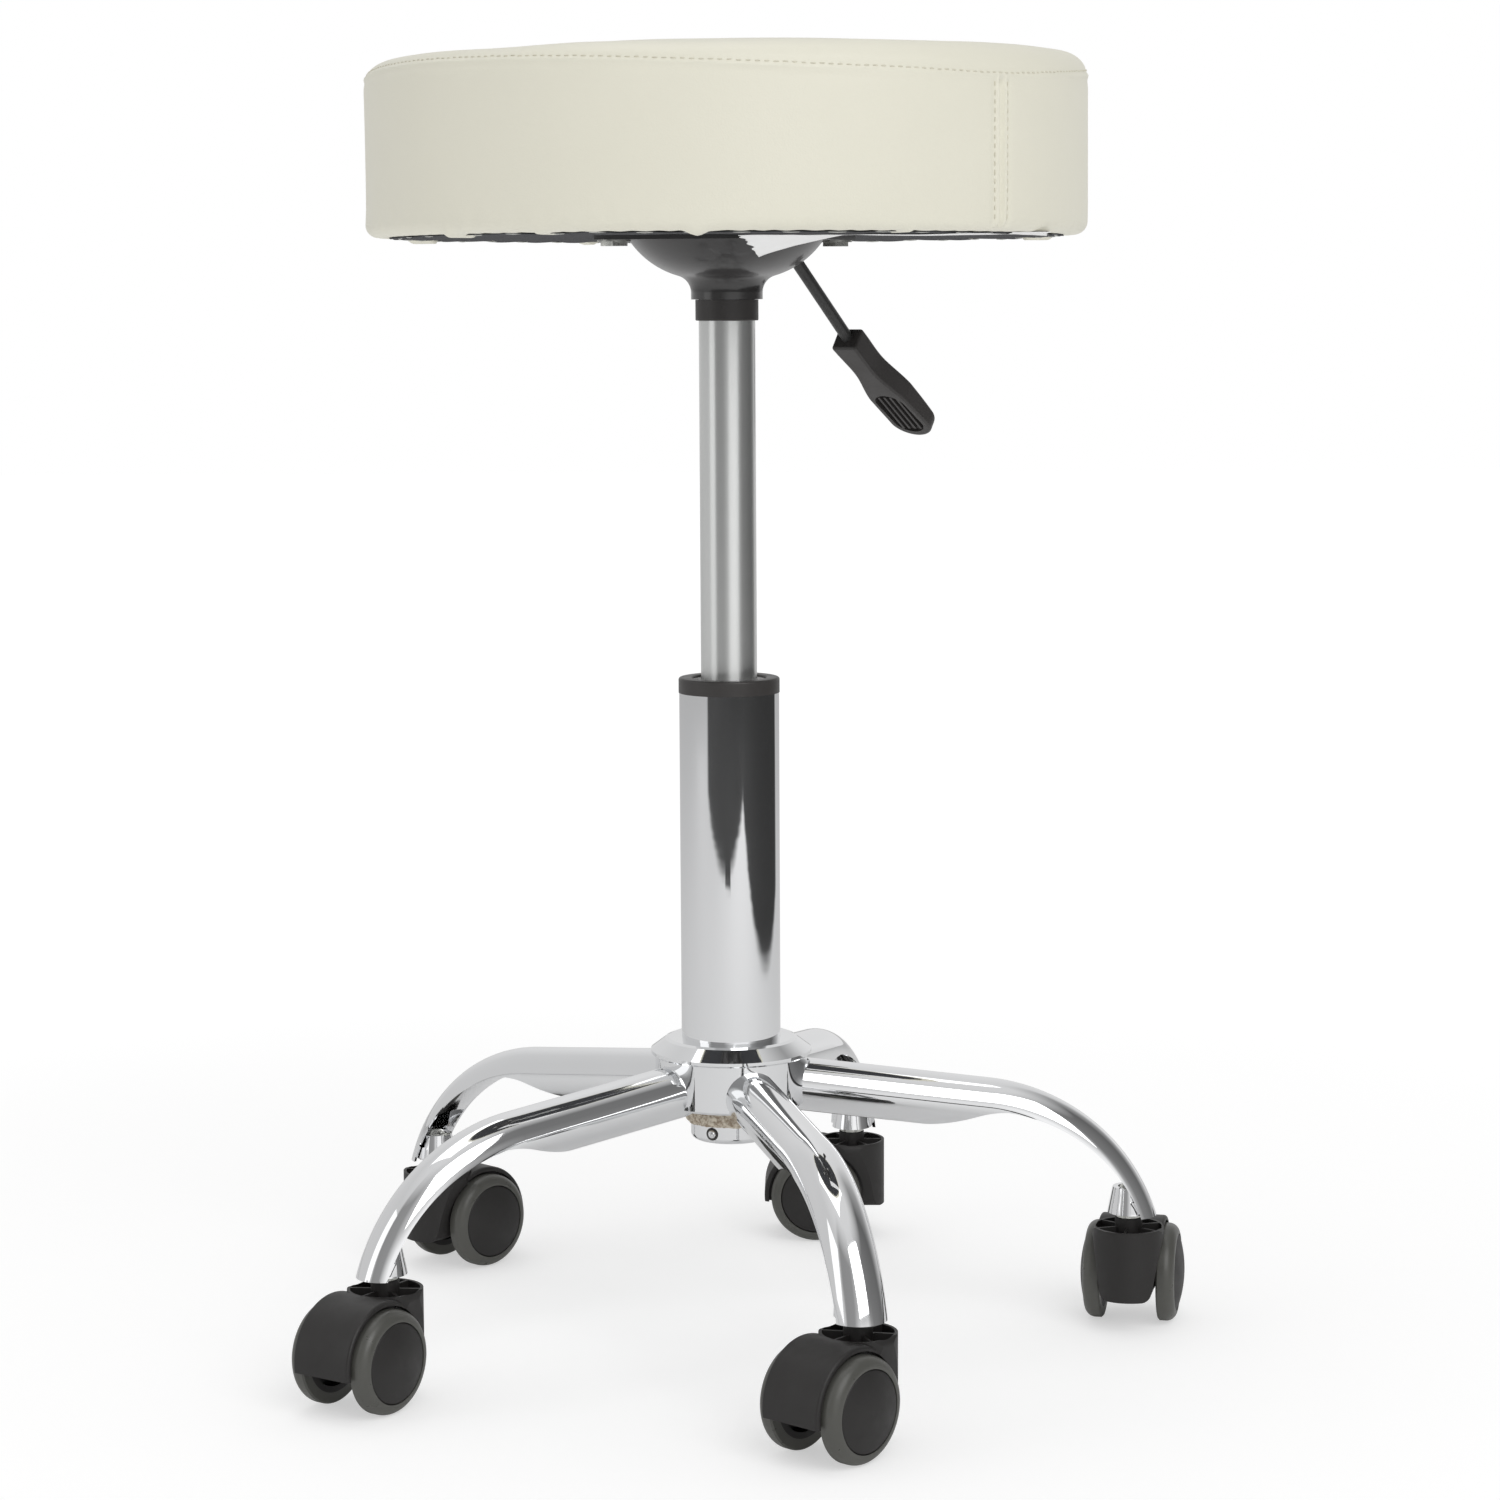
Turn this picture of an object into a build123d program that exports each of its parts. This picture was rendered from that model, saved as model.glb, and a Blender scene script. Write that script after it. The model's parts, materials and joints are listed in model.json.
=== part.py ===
"""Pedicure stool: round padded seat on a gas lift, chromed five-leg base, twin-wheel casters.

Millimetres, +Z up. The origin is the column axis on the floor, and leg_1 points along +X.
Each piece is one node in parts/. The seat stands at the top of its travel.
"""

from build123d import *
from math import atan2, cos, degrees, radians, sin, tan
import os

# ---------------------------------------------------------------- driving dimensions

LEGS = 5
STEM_CIRCLE_R = 201.7  # caster stem axes from the column axis
LEG_R = 13.5  # leg tube, outside
LEG_WALL = 1.5
LEG_START_R = 27.0  # where the leg tube butts inside the hub
LEG_START_Z = 128.2
LEG_SLOPE = 6.5  # fall of the straight run, degrees
LEG_BEND_START_R = 129.5
LEG_BEND_R = 87.0
LEG_BEND_TURN = 72.0
LEG_END_Z = 59.6

TUBE_R = 25.0  # outer column tube
TUBE_WALL = 1.5
TUBE_BOTTOM_Z = 119.0
TUBE_TOP_Z = 327.0
CYLINDER_R = 14.0  # gas cylinder
CYLINDER_WALL = 1.5
CYLINDER_BOTTOM_Z = 290.0
CYLINDER_TOP_Z = 535.0
ROD_R = 5.0  # piston rod
RUNNING = 0.06  # radial clearance of the running fits
BODY_GAP = 0.3  # gap between pieces that only pass each other

HUB_R = 38.5
HUB_TOP_Z = 143.5
FLANGE_R = 40.6

SEAT_R = 177.0
SEAT_TOP_Z = 644.5
SEAT_BOTTOM_Z = 553.0
SEAT_SHOULDER_Z = 638.0
SEAT_FLAT_R = 30.0
COVER_T = 1.2  # vinyl with its lining
BOARD_R = 171.0
BOARD_BOTTOM_Z = 555.5
BOARD_T = 12.0
HEM_INNER_R = 159.0
PLATE_SIDE = 106.0
PLATE_T = 2.4
PLATE_TOP_Z = 553.4
PLATE_BOTTOM_Z = PLATE_TOP_Z - PLATE_T
BOLT_CIRCLE_R = 61.0
BOLT_TURN = 28.0  # first seat bolt's azimuth, degrees
BOLT_R = 4.0

LEVER_AZIMUTH = 55.5
LEVER_Z = 544.5
LEVER_R = 3.1
LEVER_SLOPE = 40.3
HANDLE_SLOPE = 34.5  # the handle lies flatter than the rod
LEVER_PIVOT_R = 34.0
LEVER_BEND_AT_R = 55.8
LEVER_BEND_R = 10.0
LEVER_ROD_RUN = 81.5  # sloping run, from the bend's corner to the rod's end in the handle
HANDLE_START = 65.5  # handle's near end, along the sloping run from the bend's corner
HANDLE_LENGTH = 87.0

WHEEL_R = 25.0
CASTER_TRAIL = 20.0
AXLE_R = 3.0
CUP_R = 18.25
CUP_TOP_Z = 53.6
STEM_R = 5.5
CUP_WALL = 1.5
CUP_DEPTH = 5.5
CHIN_Z = 17.5  # bottom of the wall in front of the wheels
CHIN_HALF_W = 12.5
BOSS_R = 6.9  # stem boss, standing above the cup's rim
BOSS_TOP_Z = 58.2
HOOD_R = 28.8
HOOD_HALF_W = 16.8  # the hood covers the inner edges of the wheels
HOOD_EDGE_R = 1.6
HOOD_WALL = 2.0
HOOD_BOTTOM_Z = 21.5
WEB_HALF_W = 13.5  # between the wheels
WHEEL_ARCH_R = 26.4
WHEEL_INNER_Y = 13.9
WHEEL_OUTER_Y = 26.4
TREAD_INNER_R = 19.6
TRAIL_AZIMUTHS = (78.7, 180.2, 48.2, -122.5, -130.2)  # of caster_1 to caster_5 at rest

os.makedirs("parts", exist_ok=True)


def save(builder, name):
    """Label a finished piece and write its STEP file."""
    builder.part.label = name
    export_step(builder.part, f"parts/{name}.step")


def upright_plane(azimuth, origin=(0, 0, 0)):
    """Vertical plane whose local x points along azimuth and whose local y points up."""
    turn = radians(azimuth)
    return Plane(origin, x_dir=(cos(turn), sin(turn), 0), z_dir=(sin(turn), -cos(turn), 0))


def leg_azimuth(index):
    return index * 360 / LEGS


def stem_foot(index):
    """Point on the floor under a leg's caster stem."""
    turn = radians(leg_azimuth(index))
    return Vector(STEM_CIRCLE_R * cos(turn), STEM_CIRCLE_R * sin(turn), 0)


def leg_start_plane(azimuth):
    """Plane of the leg tube's first section, facing outwards along its straight run."""
    turn = radians(azimuth)
    fall = radians(LEG_SLOPE)
    start = (LEG_START_R * cos(turn), LEG_START_R * sin(turn), LEG_START_Z)
    run = (cos(turn) * cos(fall), sin(turn) * cos(fall), -sin(fall))
    return Plane(start, x_dir=(-sin(turn), cos(turn), 0), z_dir=run)


# ---------------------------------------------------------------- base: hub and column

# Hub: a turned ring with a bevelled flange, bored for the column and for the five leg tubes.
with BuildPart() as hub:
    with BuildSketch(Plane.XZ):
        with BuildLine():
            Polyline(
                (TUBE_R, TUBE_BOTTOM_Z),
                (HUB_R - 1.2, TUBE_BOTTOM_Z),
                (HUB_R, TUBE_BOTTOM_Z + 1.2),
                (HUB_R, HUB_TOP_Z),
                (FLANGE_R - 0.8, HUB_TOP_Z),
                (FLANGE_R, HUB_TOP_Z + 0.8),
                (FLANGE_R, HUB_TOP_Z + 2.4),
                (33.5, 151.2),
                (31.5, 152.0),
                (TUBE_R, 152.4),
                close=True,
            )
        make_face()
    revolve(axis=Axis.Z)
    for leg_index in range(LEGS):
        with BuildSketch(leg_start_plane(leg_azimuth(leg_index))):
            Circle(LEG_R)
        extrude(amount=30, mode=Mode.SUBTRACT)
save(hub, "hub")

# Outer column tube, with its end plate turned in at the bottom.
with BuildPart() as outer_tube:
    with BuildSketch(Plane.XY.offset(TUBE_BOTTOM_Z)):
        Circle(TUBE_R)
    extrude(amount=TUBE_TOP_Z - TUBE_BOTTOM_Z)
    with BuildSketch(Plane.XY.offset(TUBE_BOTTOM_Z + 4)):
        Circle(TUBE_R - TUBE_WALL)
    extrude(amount=TUBE_TOP_Z - TUBE_BOTTOM_Z - 4, mode=Mode.SUBTRACT)
    with Locations((0, 0, TUBE_TOP_Z)):
        Hole(ROD_R + RUNNING)
save(outer_tube, "outer_tube")

# Ring of hardened filler round the column's foot, under the hub.
with BuildPart() as hub_weld_ring:
    with BuildSketch(Plane.XY.offset(TUBE_BOTTOM_Z - 9.8)):
        Circle(TUBE_R)
        Circle(19.5, mode=Mode.SUBTRACT)
    extrude(amount=9.8)
    chamfer(hub_weld_ring.edges().group_by(Axis.Z)[0].sort_by(SortBy.RADIUS)[-1], 2.5)
save(hub_weld_ring, "hub_weld_ring")

# Pressed cap that closes the column's foot over the rod's end.
with BuildPart() as bottom_cap:
    with BuildSketch(Plane.XY.offset(100)):
        Circle(20.6)
    extrude(amount=9.2)
    fillet(bottom_cap.edges().group_by(Axis.Z)[0], 2.6)
    offset(amount=-1.2, openings=bottom_cap.faces().sort_by(Axis.Z)[-1])
save(bottom_cap, "bottom_cap")

# Guide bush in the tube's mouth: the gas cylinder runs in it. Its collar shows as a slotted ring.
BUSH_COLLAR_R = 18.4
with BuildPart() as guide_bush:
    with BuildSketch(Plane.XY.offset(TUBE_TOP_Z - 65)):
        Circle(TUBE_R - TUBE_WALL)
    extrude(amount=65)
    with BuildSketch(Plane.XY.offset(TUBE_TOP_Z)):
        Circle(BUSH_COLLAR_R)
    extrude(amount=6.4)
    with Locations((0, 0, TUBE_TOP_Z + 6.4)):
        Hole(CYLINDER_R + RUNNING)
    with BuildSketch(Plane.XY.offset(TUBE_TOP_Z + 3)):
        with PolarLocations(BUSH_COLLAR_R, 6):
            Rectangle(6, 3)
    extrude(amount=5, mode=Mode.SUBTRACT)
save(guide_bush, "guide_bush")

# Black plastic ring snapped over the tube's mouth.
with BuildPart() as column_cap:
    with BuildSketch(Plane.XY.offset(TUBE_TOP_Z)):
        Circle(TUBE_R + 0.3)
        Circle(BUSH_COLLAR_R + 0.1, mode=Mode.SUBTRACT)
    extrude(amount=7.6)
    fillet(column_cap.edges().group_by(Axis.Z)[-1], 1.2)
save(column_cap, "column_cap")

# Thrust bearing on the tube's end plate: two washers and a ring of balls.
BEARING_Z = TUBE_BOTTOM_Z + 4
BALL_R = 1.7
BEARING_TOP_Z = BEARING_Z + 2 * (2.0 + BALL_R) + 0.1
with BuildPart() as thrust_bearing:
    for washer_z in (BEARING_Z, BEARING_TOP_Z - 2.0):
        with BuildSketch(Plane.XY.offset(washer_z)):
            Circle(15)
            Circle(ROD_R + 0.4, mode=Mode.SUBTRACT)
        extrude(amount=2.0)
    with Locations((0, 0, BEARING_Z + 2.05 + BALL_R)):
        with PolarLocations(10.2, 10):
            Sphere(BALL_R)
save(thrust_bearing, "thrust_bearing")

# ---------------------------------------------------------------- base: legs and caster stems

BEND_CENTRE_R = LEG_BEND_START_R - LEG_BEND_R * sin(radians(LEG_SLOPE))
BEND_CENTRE_Z = (
    LEG_START_Z
    - (LEG_BEND_START_R - LEG_START_R) * tan(radians(LEG_SLOPE))
    - LEG_BEND_R * cos(radians(LEG_SLOPE))
)
SLEEVE_R = 10.8  # socket for the caster stem, at its mouth
SLEEVE_TOP_R = 8.2
SLEEVE_BOTTOM_Z = LEG_END_Z + 1.2
SLEEVE_TOP_Z = 74.0
SLEEVE_TAPER = degrees(atan2(SLEEVE_R - SLEEVE_TOP_R, SLEEVE_TOP_Z - SLEEVE_BOTTOM_Z))
GUSSET_T = 6.0


def leg_pipe(azimuth, radius):
    """Round bar along the leg's centre line: a straight run, then one bend."""
    bend_start = (LEG_BEND_START_R, BEND_CENTRE_Z + LEG_BEND_R * cos(radians(LEG_SLOPE)))
    with BuildPart() as pipe:
        with BuildLine(upright_plane(azimuth)) as centre_line:
            Line((LEG_START_R, LEG_START_Z), bend_start)
            CenterArc((BEND_CENTRE_R, BEND_CENTRE_Z), LEG_BEND_R, 90 - LEG_SLOPE, -LEG_BEND_TURN)
        with BuildSketch(leg_start_plane(azimuth)):
            Circle(radius)
        sweep(path=centre_line.line)
    return pipe.part


for leg_index in range(LEGS):
    leg_turn = leg_azimuth(leg_index)
    foot = stem_foot(leg_index)
    leg_bore = leg_pipe(leg_turn, LEG_R - LEG_WALL)
    # Welded socket: a sleeve for the stem and a gusset that ties it to the channel's walls.
    with BuildPart() as gusset:
        add(leg_bore)
        gusset_level = foot + Vector(0, 0, SLEEVE_BOTTOM_Z + 1)
        with BuildSketch(Plane(gusset_level, x_dir=(foot.X, foot.Y, 0), z_dir=(0, 0, 1))):
            with Locations((10, 0)):
                Rectangle(20, 40)
        extrude(amount=GUSSET_T, mode=Mode.INTERSECT)
    with BuildPart() as leg:
        add(leg_pipe(leg_turn, LEG_R))
        add(leg_bore, mode=Mode.SUBTRACT)
        # The tube's underside is cut away, so that its outer half is an open channel.
        with BuildSketch(upright_plane(leg_turn)):
            with BuildLine():
                Spline((80, 107.6), (100, 107.3), (121, 111.6), (140, 114.8), tangents=[(1, -0.1), (1, -0.02)])
                ThreePointArc((140, 114.8), (182, 95.5), (206, 63))
                Polyline((206, 63), (211.5, 45), (80, 45), (80, 107.6))
            make_face()
        extrude(amount=LEG_R + 5, both=True, mode=Mode.SUBTRACT)
        # The foot is cut level above its caster.
        with BuildSketch(Plane.XY.offset(LEG_END_Z)):
            Circle(STEM_CIRCLE_R + 60)
        extrude(amount=-60, mode=Mode.SUBTRACT)
        sleeve_mouth = Plane(foot + Vector(0, 0, SLEEVE_BOTTOM_Z))
        with BuildSketch(sleeve_mouth):
            Circle(SLEEVE_R)
        extrude(amount=SLEEVE_TOP_Z - SLEEVE_BOTTOM_Z, taper=SLEEVE_TAPER)
        add(gusset.part)
        with BuildSketch(sleeve_mouth):
            Circle(STEM_R)
        extrude(amount=SLEEVE_TOP_Z - SLEEVE_BOTTOM_Z, mode=Mode.SUBTRACT)
    save(leg, f"leg_{leg_index + 1}")

# Caster stems: pins gripped in the leg sockets, with a collar under each socket and a domed top.
STEM_BOTTOM_Z = 33.0
STEM_TOP_Z = 76.0
STEM_COLLAR_R = 6.4
with BuildPart() as caster_stems:
    with BuildSketch(Plane.XY.offset(STEM_BOTTOM_Z)):
        with PolarLocations(STEM_CIRCLE_R, LEGS):
            Circle(STEM_R)
    extrude(amount=STEM_TOP_Z - STEM_BOTTOM_Z)
    fillet(caster_stems.edges().group_by(Axis.Z)[-1], 4.6)
    chamfer(caster_stems.edges().group_by(Axis.Z)[0], 1.0)
    with BuildSketch(Plane.XY.offset(BOSS_TOP_Z + BODY_GAP)):
        with PolarLocations(STEM_CIRCLE_R, LEGS):
            Circle(STEM_COLLAR_R)
    extrude(amount=SLEEVE_BOTTOM_Z - BOSS_TOP_Z - BODY_GAP)
save(caster_stems, "caster_stems")

# ---------------------------------------------------------------- piston, turning in the base

# Piston rod: shoulder on the thrust bearing, clip groove below the end plate, piston head above.
CLIP_Z = TUBE_BOTTOM_Z - 1.6
HEAD_Z = CYLINDER_BOTTOM_Z + 7.5
with BuildPart() as piston_rod:
    with BuildSketch(Plane.XY.offset(104)):
        Circle(ROD_R)
    extrude(amount=HEAD_Z + 10 - 104)
    with BuildSketch(Plane.XY.offset(BEARING_TOP_Z + BODY_GAP)):
        Circle(8)
    extrude(amount=3.2)
    with BuildSketch(Plane.XY.offset(HEAD_Z)):
        Circle(CYLINDER_R - CYLINDER_WALL - RUNNING)
    extrude(amount=8)
    for groove_z, groove_h, outer_r, inner_r in (
        (CLIP_Z, 1.2, ROD_R, 3.9),
        (HEAD_Z + 3, 2, CYLINDER_R - CYLINDER_WALL, 11),
    ):
        with BuildSketch(Plane.XY.offset(groove_z)):
            Circle(outer_r)
            Circle(inner_r, mode=Mode.SUBTRACT)
        extrude(amount=groove_h, mode=Mode.SUBTRACT)
    chamfer(piston_rod.edges().group_by(Axis.Z)[0], 0.8)
save(piston_rod, "piston_rod")

# Clip that holds the rod down in the end plate.
with BuildPart() as retaining_clip:
    with BuildSketch(Plane.XY.offset(CLIP_Z)):
        Circle(9)
        Circle(3.9, mode=Mode.SUBTRACT)
        with Locations((7, 0)):
            Rectangle(14, 6.2, mode=Mode.SUBTRACT)
    extrude(amount=1.2)
save(retaining_clip, "retaining_clip")

# ---------------------------------------------------------------- seat: gas cylinder and mount

with BuildPart() as gas_cylinder:
    with BuildSketch(Plane.XY.offset(CYLINDER_BOTTOM_Z)):
        Circle(CYLINDER_R)
        Circle(CYLINDER_R - CYLINDER_WALL, mode=Mode.SUBTRACT)
    extrude(amount=CYLINDER_TOP_Z - CYLINDER_BOTTOM_Z)
    chamfer(gas_cylinder.edges().filter_by(GeomType.CIRCLE).sort_by(SortBy.RADIUS)[-2:], 0.6)
save(gas_cylinder, "gas_cylinder")

with BuildPart() as cylinder_seal:
    with BuildSketch(Plane.XY.offset(CYLINDER_BOTTOM_Z)):
        Circle(CYLINDER_R - CYLINDER_WALL)
        Circle(ROD_R + RUNNING, mode=Mode.SUBTRACT)
    extrude(amount=6)
save(cylinder_seal, "cylinder_seal")

VALVE_PIN_R = 2.5
with BuildPart() as valve_block:
    with BuildSketch(Plane.XY.offset(CYLINDER_TOP_Z - 20)):
        Circle(CYLINDER_R - CYLINDER_WALL)
    extrude(amount=20)
    with Locations((0, 0, CYLINDER_TOP_Z)):
        Hole(VALVE_PIN_R + RUNNING)
save(valve_block, "valve_block")

with BuildPart() as valve_pin:
    with BuildSketch(Plane.XY.offset(CYLINDER_TOP_Z - 23)):
        Circle(VALVE_PIN_R)
    extrude(amount=LEVER_Z - LEVER_R - BODY_GAP - CYLINDER_TOP_Z + 23)
    chamfer(valve_pin.edges().group_by(Axis.Z)[-1], 0.5)
save(valve_pin, "valve_pin")

# Black collar round the cylinder, under the bowl's neck.
with BuildPart() as column_collar:
    with BuildSketch(Plane.XY.offset(511.6)):
        Circle(15.6)
        Circle(CYLINDER_R, mode=Mode.SUBTRACT)
    extrude(amount=10.3)
    fillet(column_collar.edges().group_by(Axis.Z)[0].sort_by(SortBy.RADIUS)[-1], 0.6)
save(column_collar, "column_collar")

# Bell-shaped cover: a neck round the taper socket that flares to a wide rim under the plate.
BOWL_T = 1.5
with BuildPart() as bowl_cover:
    with BuildSketch(Plane.XZ):
        with BuildLine():
            Line((17.75, 522.0), (17.75, 525.5))
            ThreePointArc((17.75, 525.5), (19.2, 530.2), (24.0, 533.6))
            ThreePointArc((24.0, 533.6), (38.6, 541.0), (48.0, PLATE_BOTTOM_Z))
            Line((48.0, PLATE_BOTTOM_Z), (48.0 - BOWL_T, PLATE_BOTTOM_Z))
            ThreePointArc((48.0 - BOWL_T, PLATE_BOTTOM_Z), (37.6, 542.3), (23.4, 535.1))
            ThreePointArc((23.4, 535.1), (18.0, 531.0), (16.2, 525.5))
            Line((16.2, 525.5), (16.2, 522.0))
            Line((16.2, 522.0), (17.75, 522.0))
        make_face()
    revolve(axis=Axis.Z)
    # Window for the lever rod, open to the rim.
    with BuildSketch(upright_plane(LEVER_AZIMUTH + 90)):
        with Locations((0, LEVER_Z + 10)):
            SlotCenterPoint((0, 0), (0, -10), 2 * LEVER_R + 2.4)
    extrude(amount=60, mode=Mode.SUBTRACT)
save(bowl_cover, "bowl_cover")

# Seat plate: square steel plate with the taper socket and the lever's bracket welded under it.
SOCKET_R = 15.9
SOCKET_BOTTOM_Z = 522.0
BRACKET_GAP = LEVER_R + 0.4
PIVOT_PIN_R = 1.5
lever_side = upright_plane(LEVER_AZIMUTH)
with BuildPart() as seat_plate:
    with BuildSketch(Plane.XY.offset(PLATE_BOTTOM_Z)):
        Rectangle(PLATE_SIDE, PLATE_SIDE, rotation=BOLT_TURN + 45)
    extrude(amount=PLATE_T)
    fillet(seat_plate.edges().filter_by(Axis.Z), 9)
    with BuildSketch(Plane.XY.offset(SOCKET_BOTTOM_Z)):
        Circle(SOCKET_R)
        Circle(CYLINDER_R, mode=Mode.SUBTRACT)
    extrude(amount=PLATE_BOTTOM_Z - SOCKET_BOTTOM_Z)
    with BuildSketch(upright_plane(LEVER_AZIMUTH + 90)):
        with Locations((0, LEVER_Z + 1.5)):
            SlotCenterPoint((0, 0), (0, -6), 2 * LEVER_R + 2)
    extrude(amount=30, mode=Mode.SUBTRACT)
    for side_sign in (-1, 1):
        with BuildSketch(lever_side.offset(side_sign * (BRACKET_GAP + 0.75) - 0.75)):
            with Locations((LEVER_PIVOT_R, (LEVER_Z + PLATE_BOTTOM_Z) / 2 - 0.5)):
                Rectangle(5.2, PLATE_BOTTOM_Z - LEVER_Z + 1)
            with Locations((LEVER_PIVOT_R, LEVER_Z)):
                Circle(2.6)
        extrude(amount=1.5)
    with BuildSketch(lever_side.offset(-BRACKET_GAP - 1.5)):
        with Locations((LEVER_PIVOT_R, LEVER_Z)):
            Circle(PIVOT_PIN_R)
    extrude(amount=2 * BRACKET_GAP + 3)
    with BuildSketch(Plane.XY.offset(PLATE_BOTTOM_Z)):
        with PolarLocations(BOLT_CIRCLE_R, 4, start_angle=BOLT_TURN):
            Circle(BOLT_R + 0.3)
    extrude(amount=PLATE_T, mode=Mode.SUBTRACT)
save(seat_plate, "seat_plate")

# ---------------------------------------------------------------- lever

slope_dir = (cos(radians(LEVER_SLOPE)), -sin(radians(LEVER_SLOPE)))


def down_slope(distance):
    """Local point on the lever's sloping centre line, measured from the bend's corner."""
    return (LEVER_BEND_AT_R + slope_dir[0] * distance, LEVER_Z + slope_dir[1] * distance)


with BuildPart() as lever_rod:
    bend_tangent = LEVER_BEND_R * tan(radians(LEVER_SLOPE / 2))
    with BuildLine(lever_side) as rod_line:
        Line((-6, LEVER_Z), (LEVER_BEND_AT_R - bend_tangent, LEVER_Z))
        CenterArc(
            (LEVER_BEND_AT_R - bend_tangent, LEVER_Z - LEVER_BEND_R),
            LEVER_BEND_R,
            90,
            -LEVER_SLOPE,
        )
        Line(down_slope(bend_tangent), down_slope(LEVER_ROD_RUN))
    with BuildSketch(Plane(lever_side.from_local_coords((-6, LEVER_Z)), z_dir=lever_side.x_dir)):
        Circle(LEVER_R)
    sweep(path=rod_line.line)
    with BuildSketch(lever_side):
        with Locations((LEVER_PIVOT_R, LEVER_Z)):
            Circle(PIVOT_PIN_R + RUNNING)
    extrude(amount=LEVER_R + 1, both=True, mode=Mode.SUBTRACT)
save(lever_rod, "lever_rod")

# Handle: a moulded grip, waisted behind its end and flattened to a paddle, ribbed underneath.
handle_turn = radians(LEVER_AZIMUTH)
handle_fall = radians(HANDLE_SLOPE)
handle_run = Vector(
    cos(handle_turn) * cos(handle_fall),
    sin(handle_turn) * cos(handle_fall),
    -sin(handle_fall),
)
HANDLE_END_HALF_W = 7.6
HANDLE_WAIST_HALF_W = 6.8
HANDLE_END_HALF_H = 6.4
PADDLE_HALF_W = 12.0
PADDLE_START = 50.0
PADDLE_END = HANDLE_LENGTH - 13
DISH_CENTRE = 64.0  # recess under the paddle
DISH_LENGTH = 37.0
HANDLE_KINK = 8.0  # how far inside the handle its centre line leaves the rod's
kink_point = lever_side.from_local_coords(down_slope(HANDLE_START + HANDLE_KINK))
handle_origin = kink_point - handle_run * HANDLE_KINK
handle_across = Vector(-sin(handle_turn), cos(handle_turn), 0)
handle_up = handle_run.cross(handle_across)
plan_plane = Plane(handle_origin, x_dir=handle_run, z_dir=handle_up)
side_plane = Plane(handle_origin, x_dir=handle_run, z_dir=-handle_across)
with BuildPart() as lever_handle:
    with BuildSketch(plan_plane):
        with BuildLine():
            Line((0, -HANDLE_END_HALF_W), (0, HANDLE_END_HALF_W))
            Spline(
                (0, HANDLE_END_HALF_W),
                (27, HANDLE_WAIST_HALF_W),
                (PADDLE_START, PADDLE_HALF_W - 0.6),
                tangents=[(1, 0), (1, 0.12)],
            )
            Line((PADDLE_START, PADDLE_HALF_W - 0.6), (PADDLE_END, PADDLE_HALF_W))
            ThreePointArc((PADDLE_END, PADDLE_HALF_W), (HANDLE_LENGTH, 0), (PADDLE_END, -PADDLE_HALF_W))
            Line((PADDLE_END, -PADDLE_HALF_W), (PADDLE_START, 0.6 - PADDLE_HALF_W))
            Spline(
                (PADDLE_START, 0.6 - PADDLE_HALF_W),
                (27, -HANDLE_WAIST_HALF_W),
                (0, -HANDLE_END_HALF_W),
                tangents=[(-1, 0.12), (-1, 0)],
            )
        make_face()
    extrude(amount=14, both=True)
    with BuildSketch(side_plane):
        with BuildLine():
            Line((0, -HANDLE_END_HALF_H), (0, HANDLE_END_HALF_H))
            Spline(
                (0, HANDLE_END_HALF_H),
                (31, 6.0),
                (63, 5.2),
                (HANDLE_LENGTH + 1, 2.4),
                tangents=[(1, 0), (1, -0.25)],
            )
            Line((HANDLE_LENGTH + 1, 2.4), (HANDLE_LENGTH + 1, -4.2))
            Spline(
                (HANDLE_LENGTH + 1, -4.2),
                (58, -5.4),
                (37, -6.2),
                (0, -HANDLE_END_HALF_H),
                tangents=[(-1, 0), (-1, 0)],
            )
        make_face()
    extrude(amount=20, both=True, mode=Mode.INTERSECT)
    fillet(lever_handle.edges(), 1.6)
    # Recess in the underside, with lengthwise ribs left standing.
    with BuildSketch(plan_plane.offset(-6.6)):
        with Locations((DISH_CENTRE, 0)):
            SlotOverall(DISH_LENGTH, 17)
    extrude(amount=4.0, mode=Mode.SUBTRACT)
    with BuildSketch(plan_plane.offset(-4.6)):
        with Locations((DISH_CENTRE, 0)):
            with GridLocations(0, 3.6, 1, 4):
                Rectangle(DISH_LENGTH - 7, 1.4)
    extrude(amount=2.2)
    # Bore for the rod, along the rod's own slope.
    bore_start = lever_side.from_local_coords(down_slope(HANDLE_START - 4))
    bore_run = lever_side.from_local_coords(down_slope(LEVER_ROD_RUN)) - bore_start
    with BuildSketch(Plane(bore_start, x_dir=handle_across, z_dir=bore_run)):
        Circle(LEVER_R)
    extrude(amount=bore_run.length, mode=Mode.SUBTRACT)
save(lever_handle, "lever_handle")

# ---------------------------------------------------------------- seat: board, foam and covers

with BuildPart() as seat_board:
    with BuildSketch(Plane.XY.offset(BOARD_BOTTOM_Z)):
        Circle(BOARD_R)
    extrude(amount=BOARD_T)
    with Locations((0, 0, BOARD_BOTTOM_Z + BOARD_T)):
        with PolarLocations(BOLT_CIRCLE_R, 4, start_angle=BOLT_TURN):
            CounterBoreHole(radius=5.4, counter_bore_radius=9.6, counter_bore_depth=1.2)
save(seat_board, "seat_board")

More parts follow.
